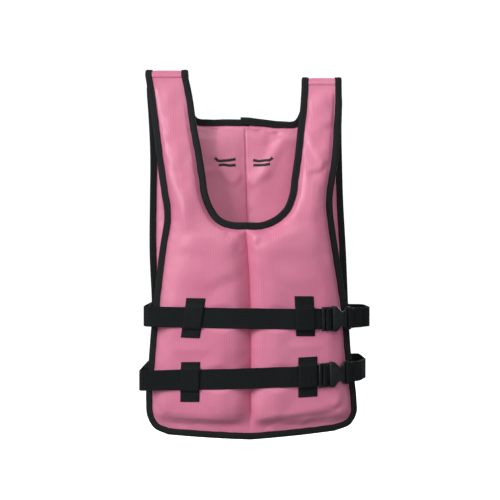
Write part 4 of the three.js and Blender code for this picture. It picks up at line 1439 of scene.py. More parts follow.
@dataclass
class Binding:
    """Tape folded round the cloth edges, in one loop over both panels."""

    pattern: Pattern
    front: Panel
    back: Panel
    key: str
    bulge: float = 0.35
    ripple: float = 0.35
    lap_at: float = -5.4
    lap_rise: float = 4.2
    lap_length: float = 15.0

    def frames(self, panel: Panel) -> dict[str, Array]:
        """Places and directions along one panel's bound edge.

        Args:
            panel: The panel.

        Returns:
            start: outermost line of the cloth's edge. into: direction into the cloth. across: direction
            out of the cloth. All go from the left seam to the right one.
        """
        p = self.pattern
        lines = panel.outline(110, 96, 46)
        rim, into2 = lines[self.key + "_rim"], lines[self.key + "_into"]
        inset = rim + into2 * (p.flat_margin - p.tape_edge)
        place = [
            p.hung(panel.side, at[:, 0], at[:, 1] / p.body_length, offset)
            for at, offset in (
                (rim, p.outer_share * p.cloth_edge), (rim, (p.outer_share - 1) * p.cloth_edge),
                (inset, p.outer_share * p.cloth_edge), (inset, (p.outer_share - 1) * p.cloth_edge))
        ]
        start = (place[0] + place[1]) / 2
        into = (place[2] + place[3]) / 2 - start
        into /= np.linalg.norm(into, axis=1)[:, None]
        across = place[0] - place[1]
        across /= np.linalg.norm(across, axis=1)[:, None]
        return {"start": start - into * p.tape_edge, "into": into, "across": across}

    def whole_edge(self) -> dict[str, Array]:
        """Places and directions round both panels, from the lap rightwards along the back to the lap.

        Returns:
            start, into and across as in frames, and run: the length along the edge.
        """
        front, back = self.frames(self.front), self.frames(self.back)
        whole = {
            key: np.concatenate([back[key][1:-1], front[key][::-1]]) for key in ("start", "into", "across")
        }
        count = len(back["start"]) - 2
        lap = int(np.argmin(np.abs(whole["start"][:count, 0] - self.lap_at)))
        whole = {key: np.roll(value, -lap, axis=0) for key, value in whole.items()}
        over = int(np.searchsorted(lengths_along(whole["start"]), self.lap_length)) + 1
        whole = {key: np.concatenate([value, value[:over]]) for key, value in whole.items()}
        whole["run"] = lengths_along(whole["start"])
        return whole

    def rings(self, whole: dict[str, Array]) -> Array:
        """Rings of points of the folded tape.

        Args:
            whole: Places and directions along the edge.

        Returns:
            steps by ring points by 3.
        """
        p = self.pattern
        run = whole["run"]
        slot = p.cloth_edge / 2 + p.clearance * 0.6
        skin = slot + p.tape_wall
        wave = self.ripple * (0.5 * np.sin(run / 8.3) + 0.5 * np.sin(run / 5.1 + 1.3 * np.sin(run / 29)))
        lip = p.tape_width + wave * 0.8
        raised = self.raised(run)
        out = []
        for inward, outwards in self.section(lip, slot, skin, wave):
            outwards = outwards * (1 + 0.42 * raised)
            inward = inward - self.lap_rise * raised * (1 - 0.6 * inward / p.tape_width)
            out.append(whole["start"] + whole["into"] * inward[:, None] + whole["across"] * outwards[:, None])
        return np.stack(out, axis=1)

    def raised(self, run: Array) -> Array:
        """Share by which the tape's first end stands over its last one, along the edge."""
        return np.where(run < self.lap_length + 4, 1.0, np.exp(-(run - self.lap_length - 4) / 42))

    def thread(self, whole: dict[str, Array]) -> list[Array]:
        """Lines of thread near the tape's lips, on both faces.

        Args:
            whole: Places and directions along the edge.

        Returns:
            One line for each face.
        """
        p = self.pattern
        raised = self.raised(whole["run"])
        skin = (p.cloth_edge / 2 + p.clearance * 0.6 + p.tape_wall + 0.02) * (1 + 0.42 * raised)
        inward = 0.76 * p.tape_width - self.lap_rise * raised * 0.5
        return [
            whole["start"] + whole["into"] * inward[:, None] + whole["across"] * (hand * skin)[:, None]
            for hand in (-1, 1)
        ]

    def section(
        self, lip: Array, slot: float, skin: float, wave: Array
    ) -> list[tuple[Array, Array]]:
        """Points of the folded tape's section, each as inward and outward millimetres.

        Args:
            lip: Width of the tape on each face, along the edge.
            slot: Half of the gap that holds the cloth.
            skin: Half of the tape's whole thickness.
            wave: Small unevenness along the edge.

        Returns:
            The points in order round the section.
        """
        one = np.ones_like(lip)
        high = skin + self.bulge + 0.25 * wave
        upper = [
            (lip, slot * one), (lip + 0.25, (slot + 0.5 * self.pattern.tape_wall) * one), (lip - 0.3, skin * one),
            (lip * 0.82, skin + 0.10 * one), (lip * 0.72, skin - 0.12 * one), (lip * 0.62, skin + 0.2 * one),
            (lip * 0.35, high), (2.0 * one, skin * one), (0.5 * one, skin * 0.68 * one),
        ]
        lower = [(a, -b) for a, b in reversed(upper)]
        inner = [(self.pattern.tape_wall * one, -slot * one), (self.pattern.tape_wall * one, slot * one)]
        return [*upper, (0 * one, 0 * one), *lower, *inner]

    def build(self, finishes: Finishes) -> bpy.types.Object:
        """Makes the tape.

        Args:
            finishes: The materials.

        Returns:
            The finished object.
        """
        rings = self.rings(self.whole_edge())
        name = "outer_binding" if self.key == "edge" else "neck_binding"
        piece = sweep(name, rings, finishes.tape, lengths_along(rings[0]))
        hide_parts(self.key + "_tape")
        return piece


@dataclass
class ShoulderWelt:
    """Narrow fold of the coated cloth over a shoulder seam, between the two bindings."""

    pattern: Pattern
    front: Panel
    back: Panel
    hand: int
    down: float = 5.0
    proud: float = 0.9
    columns: int = 24

    def skin(self, x: Array, along: Array, lift: Array) -> Array:
        """Points over the seam.

        Args:
            x: Flat millimetres from the middle line.
            along: Millimetres from the seam, positive down the front.
            lift: Millimetres off the cloth.

        Returns:
            n by 3 millimetres.
        """
        length = self.pattern.body_length
        out = np.zeros((len(x), 3))
        for panel, on in ((self.front, along >= 0), (self.back, along < 0)):
            up = self.pattern.seam_up(panel.side) + (self.pattern.clearance / 2 - np.abs(along)) / length
            flat = np.stack([x, up * length], axis=1)
            lines = panel.outline(*ROUGH_STEPS)
            thick = panel.thickness(flat, panel.reach(flat, lines), 0)
            out[on] = self.pattern.hung(panel.side, x, up, self.pattern.outer_share * thick + lift)[on]
        return out

    def span(self) -> Array:
        """Places of the columns, from binding to binding.

        Returns:
            Flat x of each.
        """
        last = self.front.rows[-1]
        inner, outer = (last.in_left, last.left) if self.hand < 0 else (last.in_right, last.right)
        low = inner * self.pattern.half_width + self.pattern.tape_width - 0.8
        high = outer * self.pattern.half_width - self.pattern.tape_width + 0.8
        return np.linspace(low, high, self.columns + 1) * self.hand

    def build(self, finishes: Finishes) -> bpy.types.Object:
        """Makes the welt.

        Args:
            finishes: The materials.

        Returns:
            The finished object.
        """
        x = self.span()
        along = np.array([1.0, 0.96, 0.85, 0.5, 0.1, -0.1, -0.5, -0.85, -0.96, -1.0]) * self.down
        lift = np.array([0.1, 0.75, 1.0, 0.92, 0.96, 0.96, 0.92, 1.0, 0.75, 0.1]) * self.proud
        rings = []
        for at, rise in zip(along, lift):
            full = np.full(len(x), at)
            top = self.skin(x, full, np.full(len(x), rise))
            low = self.skin(x, full, np.full(len(x), -0.5))
            rings.append(np.concatenate([top, low[::-1]]))
        around = np.concatenate([x, x[::-1]])
        name = "shoulder_welt_" + ("left" if self.hand < 0 else "right")
        piece = sweep(name, np.stack(rings), finishes.cloth, around)
        return piece

    def thread(self) -> list[Array]:
        """Two rows of thread, one on each side of the seam."""
        x = self.span()[1:-1]
        return [self.skin(x, np.full(len(x), at), np.full(len(x), self.proud + 0.05)) for at in (3.2, -3.2)]


@dataclass
class BarTacks:
    """Dense black tacks that hold the hang loop's ends, as they show on the inside of the back."""

    cover: BVHTree
    rows: tuple[tuple[tuple[float, float], ...], ...] = (
        ((-56.5, -157.0), (-52, -161.2), (-36, -161.8), (-22, -159.8), (-17, -158.6)),
        ((-49, -171.2), (-40, -170.0), (-30, -171.4), (-16.6, -170.2)),
        ((19, -160.0), (27, -162.4), (42, -161.8), (52, -160.8), (56.5, -157.0)),
        ((19.4, -170.2), (30, -170.8), (44, -170.4), (51.4, -169.2)),
    )
    reach: float = 1.9
    step: float = 0.7

    def thread(self) -> list[Array]:
        """Zigzag lines of thread over each row.

        Returns:
            One line for each row.
        """
        lines = []
        for row in self.rows:
            line = smooth_line(np.array(row), 12)
            line = even_steps(line, int(lengths_along(line)[-1] / self.step))
            run = np.gradient(line, axis=0)
            run /= np.linalg.norm(run, axis=1)[:, None]
            hand = np.where(np.arange(len(line)) % 2, 1, -1) * self.reach
            line = line + np.stack([-run[:, 1], run[:, 0]], axis=1) * hand[:, None]
            points = np.column_stack([line[:, 0], np.full(len(line), 15.0), line[:, 1]])
            lines.append(laid_on(self.cover, points, np.array([0, 1, 0]), 0.25))
        return lines


@dataclass
class MiddleSeam:
    """Thread that sews both skins together along a panel's middle line."""

    panel: Panel
    cover: BVHTree
    skin: Skin
    low: float
    high: float

    def thread(self) -> list[Array]:
        """Thread down the middle of the skin.

        Returns:
            One line.
        """
        pattern, side = self.panel.pattern, self.panel.side
        up = np.linspace(self.low, self.high, 90)
        points = pattern.hung(side, pattern.middle_at(side, up), up, 0.0)
        outward = side.value * (1 if self.skin is Skin.OUTER else -1)
        points[:, 1] += outward * 10
        return [laid_on(self.cover, points, np.array([0, -outward, 0]), 0.15)]


@dataclass
class Belt:
    """A webbing belt round the body, threaded through its buckle's ladder and sewn to its plug."""

    pattern: Pattern
    name: str
    up: float
    rise: float
    left: float
    right: float
    turn: float
    buckle_at: float
    angle: float
    bar_width: float = 4.0
    slot_width: float = 6.5
    socket_length: float = 44.0
    plug_length: float = 18.5
    frame_thick: float = 4.0
    buckle_lift: float = 2.2
    tail_length: float = 38.0
    tail_ease: float = 10.0
    tail_ramp: float = 30.0
    flap_length: float = 26.0

    def __post_init__(self) -> None:
        """Works out the layers of webbing at the buckle and where the buckle lies."""
        p = self.pattern
        self.layer = p.webbing_thick + p.clearance
        self.tail_out = p.webbing_thick / 2
        self.belt_out = self.tail_out + self.layer
        self.frame_low = self.belt_out + p.webbing_thick / 2 + p.clearance
        self.frame_high = self.frame_low + self.frame_thick
        self.side_out = p.belt_stand + p.side_bulge
        self.pad_reach = p.land_at * p.half_width
        self.centre = p.hung(Side.FRONT, 0.0, self.up, 0.0)
        self.lean = float(p.lean_at(self.up))
        self.pads: dict[Side, Panel] = {}

    def settle_on(self, front: Panel, back: Panel) -> None:
        """Finds the pads' faces that the belt lies on.

        Args:
            front: The front panel.
            back: The back panel.
        """
        self.pads = {Side.FRONT: front, Side.BACK: back}
        self.faces = {side: self.resting_faces(pad) for side, pad in self.pads.items()}
        start_x = self.buckle_at * self.pattern.half_width
        y = self.face_at(Side.FRONT, start_x)
        angle = math.radians(self.angle)
        self.origin = np.array([start_x + self.lean, y - self.pattern.clearance - self.buckle_lift])
        self.run = np.array([math.cos(angle), math.sin(angle)])
        self.off = np.array([math.sin(angle), -math.cos(angle)])

    def resting_faces(self, pad: Panel) -> Array:
        """Face of a pad that the belt lies on.

        Args:
            pad: The panel.

        Returns:
            Table of flat x and of y.
        """
        p = self.pattern
        x = np.linspace(-p.half_width, p.half_width, 133)
        return np.stack([x, pad.strip_face(x, self.up, p.webbing_width, p.pad_top_end * p.half_width)], axis=1)

    def face_at(self, side: Side, x: float) -> float:
        """Y of the pad's face at a flat x."""
        table = self.faces[side]
        return float(np.interp(x, table[:, 0], table[:, 1]))

    def height_at(self, x: Array | float) -> Array:
        """Height of the belt's middle at an x."""
        return self.centre[2] + self.rise * (np.asarray(x) - self.centre[0])

    def at(self, length: float, out: float) -> Array:
        """Plan point at a length along the buckle and a distance out from the pad."""
        return self.origin + self.run * length + self.off * out

    def front_run(self, x: float) -> float:
        """Where the belt's middle runs on the front.

        Args:
            x: Flat millimetres from the middle line.

        Returns:
            Its y.
        """
        p = self.pattern
        landing = max(x, -self.pad_reach)
        end = self.buckle_at * p.half_width - self.tail_length - self.tail_ease
        tail = float(smoothstep(end - self.tail_ramp, end, landing))
        lift = p.slack + p.clearance + p.webbing_thick / 2 + tail * (self.layer + self.buckle_lift / 2)
        rest = self.face_at(Side.FRONT, landing) - lift
        share = (landing - x) / (self.left * p.half_width - self.pad_reach)
        return rest + (-self.side_out - rest) * share

    def lying_run(self, side: Side) -> Array:
        """Where the belt's inner face lies on a panel.

        Args:
            side: Which panel.

        Returns:
            Table of x and of y.
        """
        p = self.pattern
        if side is Side.FRONT:
            x = np.linspace(-p.half_width * 0.97, self.buckle_at * p.half_width - 6, 40)
            y = np.array([self.front_run(v) for v in x]) + p.webbing_thick / 2
            plain = np.array([self.face_at(side, v) for v in x]) - p.slack - p.clearance
            end = self.buckle_at * p.half_width - self.tail_length - self.tail_ease - self.tail_ramp
            return np.stack([x + self.lean, np.where(x < end, y, np.maximum(y, plain))], axis=1)
        path = self.path()
        path = path[path[:, 1] > self.side_out * 0.4]
        return path[np.argsort(path[:, 0], kind="stable")] - (0.0, p.webbing_thick / 2)

    def corners(self) -> list[tuple[Array, float]]:
        """Corners of the belt's path in plan.

        Returns:
            Each corner with the radius that rounds it.
        """
        p = self.pattern
        bar_top = self.frame_high + p.clearance + p.webbing_thick / 2
        middle_bar = self.bar_width + self.slot_width
        slot_two = middle_bar + self.bar_width
        plug_end = self.socket_length + 0.5 + self.plug_length
        plug_leg = plug_end - self.bar_width - p.clearance * 2 - p.webbing_thick / 2
        leg_one = middle_bar - p.clearance * 2 - p.webbing_thick / 2
        leg_two = slot_two + p.clearance * 2 + p.webbing_thick / 2
        plain = p.slack + p.clearance + p.webbing_thick / 2
        right = self.right * p.half_width + self.lean
        left = -self.left * p.half_width + self.lean
        buckle_x = self.buckle_at * p.half_width

        def lying(side: Side, x: float) -> Array:
            """Plan point of the belt's middle on a pad at a flat x."""
            return np.array([x + self.lean, self.face_at(side, x) + side.value * plain])

        back = [(lying(Side.BACK, x), 0.0) for x in np.linspace(self.pad_reach, -self.pad_reach, 31)]
        front = [
            (np.array([x + self.lean, self.front_run(x)]), 0.0) for x in np.linspace(-self.pad_reach, buckle_x - 12, 41)
        ]
        tail = [(lying(Side.FRONT, x), 0.0) for x in np.linspace(buckle_x - 14, buckle_x - self.tail_length, 4)]
        return [
            (self.at(plug_end + self.flap_length, self.belt_out + self.layer), 0.0),
            (self.at(plug_end + 9, self.belt_out + self.layer), 6.0),
            (self.at(plug_end + 1.5, bar_top), 3.0),
            (self.at(plug_leg, bar_top), 2.0),
            (self.at(plug_leg, self.belt_out), 2.0),
            (self.at(plug_end + self.flap_length + 2, self.belt_out), 10.0),
            (np.array([right, -self.side_out * 0.1]), self.turn),
            (np.array([right - 3, self.side_out]), self.turn),
            *back,
            (np.array([left, self.side_out]), self.turn),
            (np.array([left, -self.side_out]), self.turn),
            *front,
            (self.at(self.bar_width - 1, self.belt_out), 3.0),
            (self.at(leg_one, self.belt_out + 1), 2.0),
            (self.at(leg_one, bar_top), 2.0),
            (self.at(leg_two, bar_top), 2.0),
            (self.at(leg_two, self.tail_out), 2.0),
            (self.at(0, self.tail_out), 6.0),
            *tail,
        ]

    def path(self) -> Array:
        """The belt's path in plan, with rounded corners and no long straight steps.

        Returns:
            n by 2 millimetres.
        """
        corners = self.corners()
        path: list[Array] = []
        for i, (here, radius) in enumerate(corners):
            if not radius or i in (0, len(corners) - 1):
                path.append(here)
                continue
            before, after = corners[i - 1][0] - here, corners[i + 1][0] - here
            size_a, size_b = np.linalg.norm(before), np.linalg.norm(after)
            angle = math.acos(float(np.clip(before @ after / size_a / size_b, -1, 1)))
            cut = min(radius / math.tan(angle / 2), size_a * 0.49, size_b * 0.49)
            start, end = here + before / size_a * cut, here + after / size_b * cut
            for t in np.linspace(0, 1, 9):
                path.append((1 - t) ** 2 * start + 2 * t * (1 - t) * here + t * t * end)
        dense = [path[0]]
        for point in path[1:]:
            gap = np.linalg.norm(point - dense[-1])
            if gap < 0.05:
                continue
            pieces = max(1, int(gap / 5))
            start = dense[-1]
            dense += [start + (point - start) * k / pieces for k in range(1, pieces + 1)]
        return np.array(dense)

    def thread(self) -> list[Array]:
        """Box of thread on the end that is sewn back on itself past the plug.

        Returns:
            One line.
        """
        plug_end = self.socket_length + 0.5 + self.plug_length
        out = self.belt_out + self.layer + self.pattern.webbing_thick / 2 - 0.02
        low, high, half = plug_end + 11, plug_end + self.flap_length - 2.5, self.pattern.webbing_width / 2 - 3.5
        corners = np.array([(low, -half), (high, -half), (high, half), (low, half), (low, -half), (high, half)])
        line = []
        for i in range(len(corners) - 1):
            for t in np.linspace(0, 1, 9):
                length, rise = corners[i] + (corners[i + 1] - corners[i]) * t
                plan = self.at(length, out)
                line.append((plan[0], plan[1], float(self.height_at(plan[0])) + rise))
        return [np.array(line)]

    def build(self, finishes: Finishes) -> bpy.types.Object:
        """Makes the belt's webbing.

        Args:
            finishes: The materials.

        Returns:
            The finished object.
        """
        plan = self.path()
        piece = webbing_strip(
            "belt_webbing_" + self.name, plan, self.height_at(plan[:, 0]), self.pattern.webbing_width,
            self.pattern.webbing_thick, finishes.webbing)
        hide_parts("belt_" + self.name)
        return piece


def webbing_strip(
    name: str, plan: Array, heights: Array, width: float, thick: float, finish: bpy.types.Material
) -> bpy.types.Object:
    """Webbing that stands on its edge along a plan path, with rounded selvedges.

    Args:
        name: The object's name.
        plan: n by 2 plan points.
        heights: Height of the webbing's middle at each point.
        width: Its width.
        thick: Its thickness.
        finish: Its material.

    Returns:
        The new object.
    """
    steps = np.diff(plan, axis=0)
    steps /= np.linalg.norm(steps, axis=1)[:, None]
    run = np.vstack([steps[:1], steps[:-1] + steps[1:], steps[-1:]])
    run /= np.linalg.norm(run, axis=1)[:, None]
    spread = np.clip((run * np.vstack([steps, steps[-1:]])).sum(1), 0.5, 1)
    normal = np.stack([-run[:, 1], run[:, 0]], axis=1) / spread[:, None]
    section = [
        (-0.5, 0.0), (-0.49, 0.38), (-0.465, 0.5), (-0.44, 0.44), (-0.2, 0.46), (0.0, 0.47), (0.2, 0.46), (0.44, 0.44),
        (0.465, 0.5), (0.49, 0.38), (0.5, 0.0), (0.49, -0.38), (0.465, -0.5), (0.44, -0.44), (0.2, -0.46),
        (0.0, -0.47), (-0.2, -0.46), (-0.44, -0.44), (-0.465, -0.5), (-0.49, -0.38),
    ]
    along = lengths_along(plan)
    ripple = 0.12 * np.sin(along / 9.7) + 0.10 * np.sin(along / 23.0 + 1.0)
    rings = []
    for rise, depth in section:
        flat = plan + normal * depth * thick
        z = heights + rise * width + np.sign(rise) * ripple
        rings.append(np.column_stack([flat, z]))
    around = np.array([rise * width for rise, _ in section])
    return sweep(name, np.stack(rings, axis=1), finish, around)


@dataclass
class Keeper:
    """A strip of webbing sewn to the pad above and below a belt, with a box of stitches at each end."""

    pattern: Pattern
    name: str
    belt: Belt
    across: float
    shift: float
    skew: float
    width: float = 36.0
    tall: float = 74.0
    thick: float = 1.6
    ease: float = 0.2
    hop: float = 5.0
    columns: int = 10
    rows: int = 44

    def surface(self, across: Array, z: Array, out: float, is_over: bool = True) -> Array:
        """Points on the keeper.

        Args:
            across: Shares of its width, from -0.5 to 0.5.
            z: Heights against the belt's middle, in millimetres.
            out: Millimetres outward from its underside.
            is_over: Whether it stands off where the belt passes under it.

        Returns:
            n by 3 millimetres.
        """
        p = self.pattern
        x = self.across * p.half_width + across * self.width + self.skew * z
        height = z + self.belt.rise * x
        up = self.belt.up + height / p.body_length
        flat = np.stack([x, up * p.body_length], axis=1)
        pad = self.belt.pads[Side.FRONT]
        rise = dome(pad.reach(flat, self.lines), p.pad_round)
        here = p.hung(Side.FRONT, x, up, p.outer_share * p.thick_at(up, rise))
        rest = here[:, 1] - p.clearance - self.ease
        over = np.array([self.belt.front_run(v) for v in x]) - p.webbing_thick / 2 - p.clearance - self.ease
        half = p.webbing_width / 2
        share = (1 - smoothstep(half + 1, half + self.hop, np.abs(z))) * is_over
        y = np.where(share > 0, rest + (np.minimum(rest, over) - rest) * share, rest)
        return np.column_stack([here[:, 0], y - out, here[:, 2]])

    def place_of(self, flat: Array) -> tuple[Array, Array, Array]:
        """Where flat points of the panel lie against the keeper.

        Args:
            flat: n by 2 millimetres.

        Returns:
            Millimetres across the keeper, up from the belt's middle, and outside the keeper's outline.
        """
        z = flat[:, 1] - self.belt.up * self.pattern.body_length - self.belt.rise * flat[:, 0]
        x = flat[:, 0] - self.across * self.pattern.half_width - self.skew * z
        return x, z, np.maximum(np.abs(x) - self.width / 2, np.abs(z - self.shift) - self.tall / 2)

    def __post_init__(self) -> None:
        """Reads the front panel's outline once."""
        self.lines = self.belt.pads[Side.FRONT].outline(*ROUGH_STEPS)

    def build(self, finishes: Finishes) -> bpy.types.Object:
        """Makes the keeper.

        Args:
            finishes: The materials.

        Returns:
            The finished object.
        """
        share = np.linspace(-0.5, 0.5, self.columns + 1)
        z = np.linspace(self.shift - self.tall / 2, self.shift + self.tall / 2, self.rows + 1)
        grid_a, grid_z = np.meshgrid(share, z)
        shape = (self.rows + 1, self.columns + 1, 3)
        low = self.surface(grid_a.ravel(), grid_z.ravel(), 0.0).reshape(shape)
        high = self.surface(grid_a.ravel(), grid_z.ravel(), self.thick).reshape(shape)
        round_off = np.where(np.abs(share) > 0.499, 0.35, 0.0)
        high[:, :, 1] += round_off * self.thick
        low[:, :, 1] -= round_off * self.thick
        rings = np.concatenate([high, low[:, ::-1]], axis=1)
        around = np.concatenate([share, share[::-1]]) * self.width
        piece = sweep("keeper_webbing_" + self.name, rings, finishes.webbing, around)
        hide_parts("keeper_" + self.name)
        return piece

    def stitch_lines(self) -> list[Array]:
        """A box and a cross of thread at each sewn end.

        Returns:
            One line for each end.
        """
        lines = []
        half = self.pattern.webbing_width / 2 + self.hop + 1.5
        for low, high in ((self.shift - self.tall / 2 + 3, -half), (half, self.shift + self.tall / 2 - 3)):
            if high - low < 4:
                continue
            corners = np.array([(-0.42, low), (0.42, low), (0.42, high), (-0.42, high), (-0.42, low), (0.42, high)])
            dense = np.vstack([np.linspace(start, end, 12) for start, end in zip(corners[:-1], corners[1:])])
            lines.append(self.surface(dense[:, 0], dense[:, 1], self.thick + 0.15))
        return lines


@dataclass
class HangLoop:
    """Short webbing loop on the back, sewn down through the panel at both ends."""

    pattern: Pattern
    pad: Panel
    width: float = 20.0
    thick: float = 2.0
    rise: float = 10.0
    tack_length: float = 36.0
    gap: float = 38.0
    up: float = 0.776

    def plan(self) -> tuple[Array, float]:
        """Where the loop runs.

        Returns:
            Its plan path and its height.
        """
        p = self.pattern
        reach = self.gap / 2 + self.tack_length
        x = np.linspace(-reach, reach, 61)
        free = np.maximum(0, 1 - (x / (self.gap / 2)) ** 2)
        y = self.pad.strip_face(x, self.up, self.width, p.half_width) + p.clearance + self.thick / 2 + self.rise * free
        return np.stack([x + p.lean_at(self.up), y], axis=1), float(p.hung(Side.BACK, 0.0, self.up, 0.0)[2])

    def build(self, finishes: Finishes) -> bpy.types.Object:
        """Makes the loop.

        Args:
            finishes: The materials.

        Returns:
            The finished object.
        """
        plan, height = self.plan()
        piece = webbing_strip(
            "back_hang_loop", plan, np.full(len(plan), height), self.width, self.thick, finishes.webbing)
        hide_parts("hang_loop")
        return piece

    def outer_tacks(self) -> list[Array]:
        """Thread that sews the loop's ends, on the outside.

        Returns:
            Two lines for each end.
        """
        plan, height = self.plan()
        lines = []
        for hand in (-1, 1):
            for level in (-5.0, 5.0):
                x = np.linspace(self.gap / 2 + 2, self.gap / 2 + self.tack_length - 2, 24) * hand
                x = x + self.pattern.lean_at(self.up)
                y = np.interp(x, plan[:, 0], plan[:, 1]) + self.thick / 2 + 0.1
                lines.append(np.column_stack([x, y, np.full(len(x), height + level)]))
        return lines


# Sewing


@dataclass
class Sewing:
    """Lays rows of thread along lines with a node tree, one stitch at each step."""

    name: str
    finish: bpy.types.Material
    pitch: float = 3.6
    length: float = 2.7
    thick: float = 0.55
    jitter: float = 0.10
    lines: list[Array] = field(default_factory=list)

    def sizes(self) -> dict[str, float]:
        """The stitch tree's sizes by input name."""
        thick, length = self.thick * MM, self.length * MM
        return {"Pitch": self.pitch * MM, "Length": length, "Thickness": thick, "Jitter": self.jitter}

    def tree(self) -> bpy.types.NodeTree:
        """Builds the stitch tree with named inputs for its sizes.

        Returns:
            The tree.
        """
        tree = bpy.data.node_groups.new("stitch_row_" + self.name, "GeometryNodeTree")
        face = tree.interface
        face.new_socket("Geometry", in_out="INPUT", socket_type="NodeSocketGeometry")
        for label, value in self.sizes().items():
            face.new_socket(label, in_out="INPUT", socket_type="NodeSocketFloat").default_value = value
        face.new_socket("Seed", in_out="INPUT", socket_type="NodeSocketInt").default_value = SEED
        face.new_socket("Material", in_out="INPUT", socket_type="NodeSocketMaterial")
        face.new_socket("Geometry", in_out="OUTPUT", socket_type="NodeSocketGeometry")

        add = partial(add_node, tree)
        given = add("NodeGroupInput").outputs
        curve = add("GeometryNodeMeshToCurve", {"Mesh": given["Geometry"]})
        steps = add("GeometryNodeResampleCurve", {"Curve": curve, "Length": given["Pitch"]}, mode="LENGTH")
        bead = add("GeometryNodeMeshUVSphere", {"Segments": 6, "Rings": 4, "Radius": 0.5})
        turn = add("FunctionNodeAlignRotationToVector", {"Vector": add("GeometryNodeInputTangent")}, axis="X")
        vary = add("FunctionNodeRandomValue", {"Seed": given["Seed"]}, data_type="FLOAT").outputs[1]
        spread = add("ShaderNodeMath", (vary, given["Jitter"], 1.0), operation="MULTIPLY_ADD")
        long = add("ShaderNodeMath", (given["Length"], spread), operation="MULTIPLY")
        size = add("ShaderNodeCombineXYZ", (long, given["Thickness"], given["Thickness"]))
        placing = {"Points": steps, "Instance": bead, "Rotation": turn, "Scale": size}
        real = add("GeometryNodeRealizeInstances", (add("GeometryNodeInstanceOnPoints", placing),))
        dressed = add("GeometryNodeSetMaterial", {"Geometry": real, "Material": given["Material"]})
        add("NodeGroupOutput", (dressed,))
        return tree

    def build(self) -> bpy.types.Object:
        """Sews all lines into one object.

        Returns:
            The finished object.
        """
        points = np.vstack(self.lines)
        edges: list[tuple[int, int]] = []
        base = 0
        for line in self.lines:
            edges += [(base + i, base + i + 1) for i in range(len(line) - 1)]
            base += len(line)
        mesh = bpy.data.meshes.new(self.name)
        mesh.from_pydata([tuple(p) for p in points * MM], edges, [])
        piece = bpy.data.objects.new(self.name, mesh)
        bpy.context.scene.collection.objects.link(piece)
        rows = piece.modifiers.new("stitches", "NODES")
        rows.node_group = self.tree()
        values = {**self.sizes(), "Seed": SEED, "Material": self.finish}
        for item in rows.node_group.interface.items_tree:
            if item.in_out == "INPUT" and item.name in values:
                rows[item.identifier] = values[item.name]
        settle(piece)
        piece.data.shade_smooth()
        return piece


# Buckle


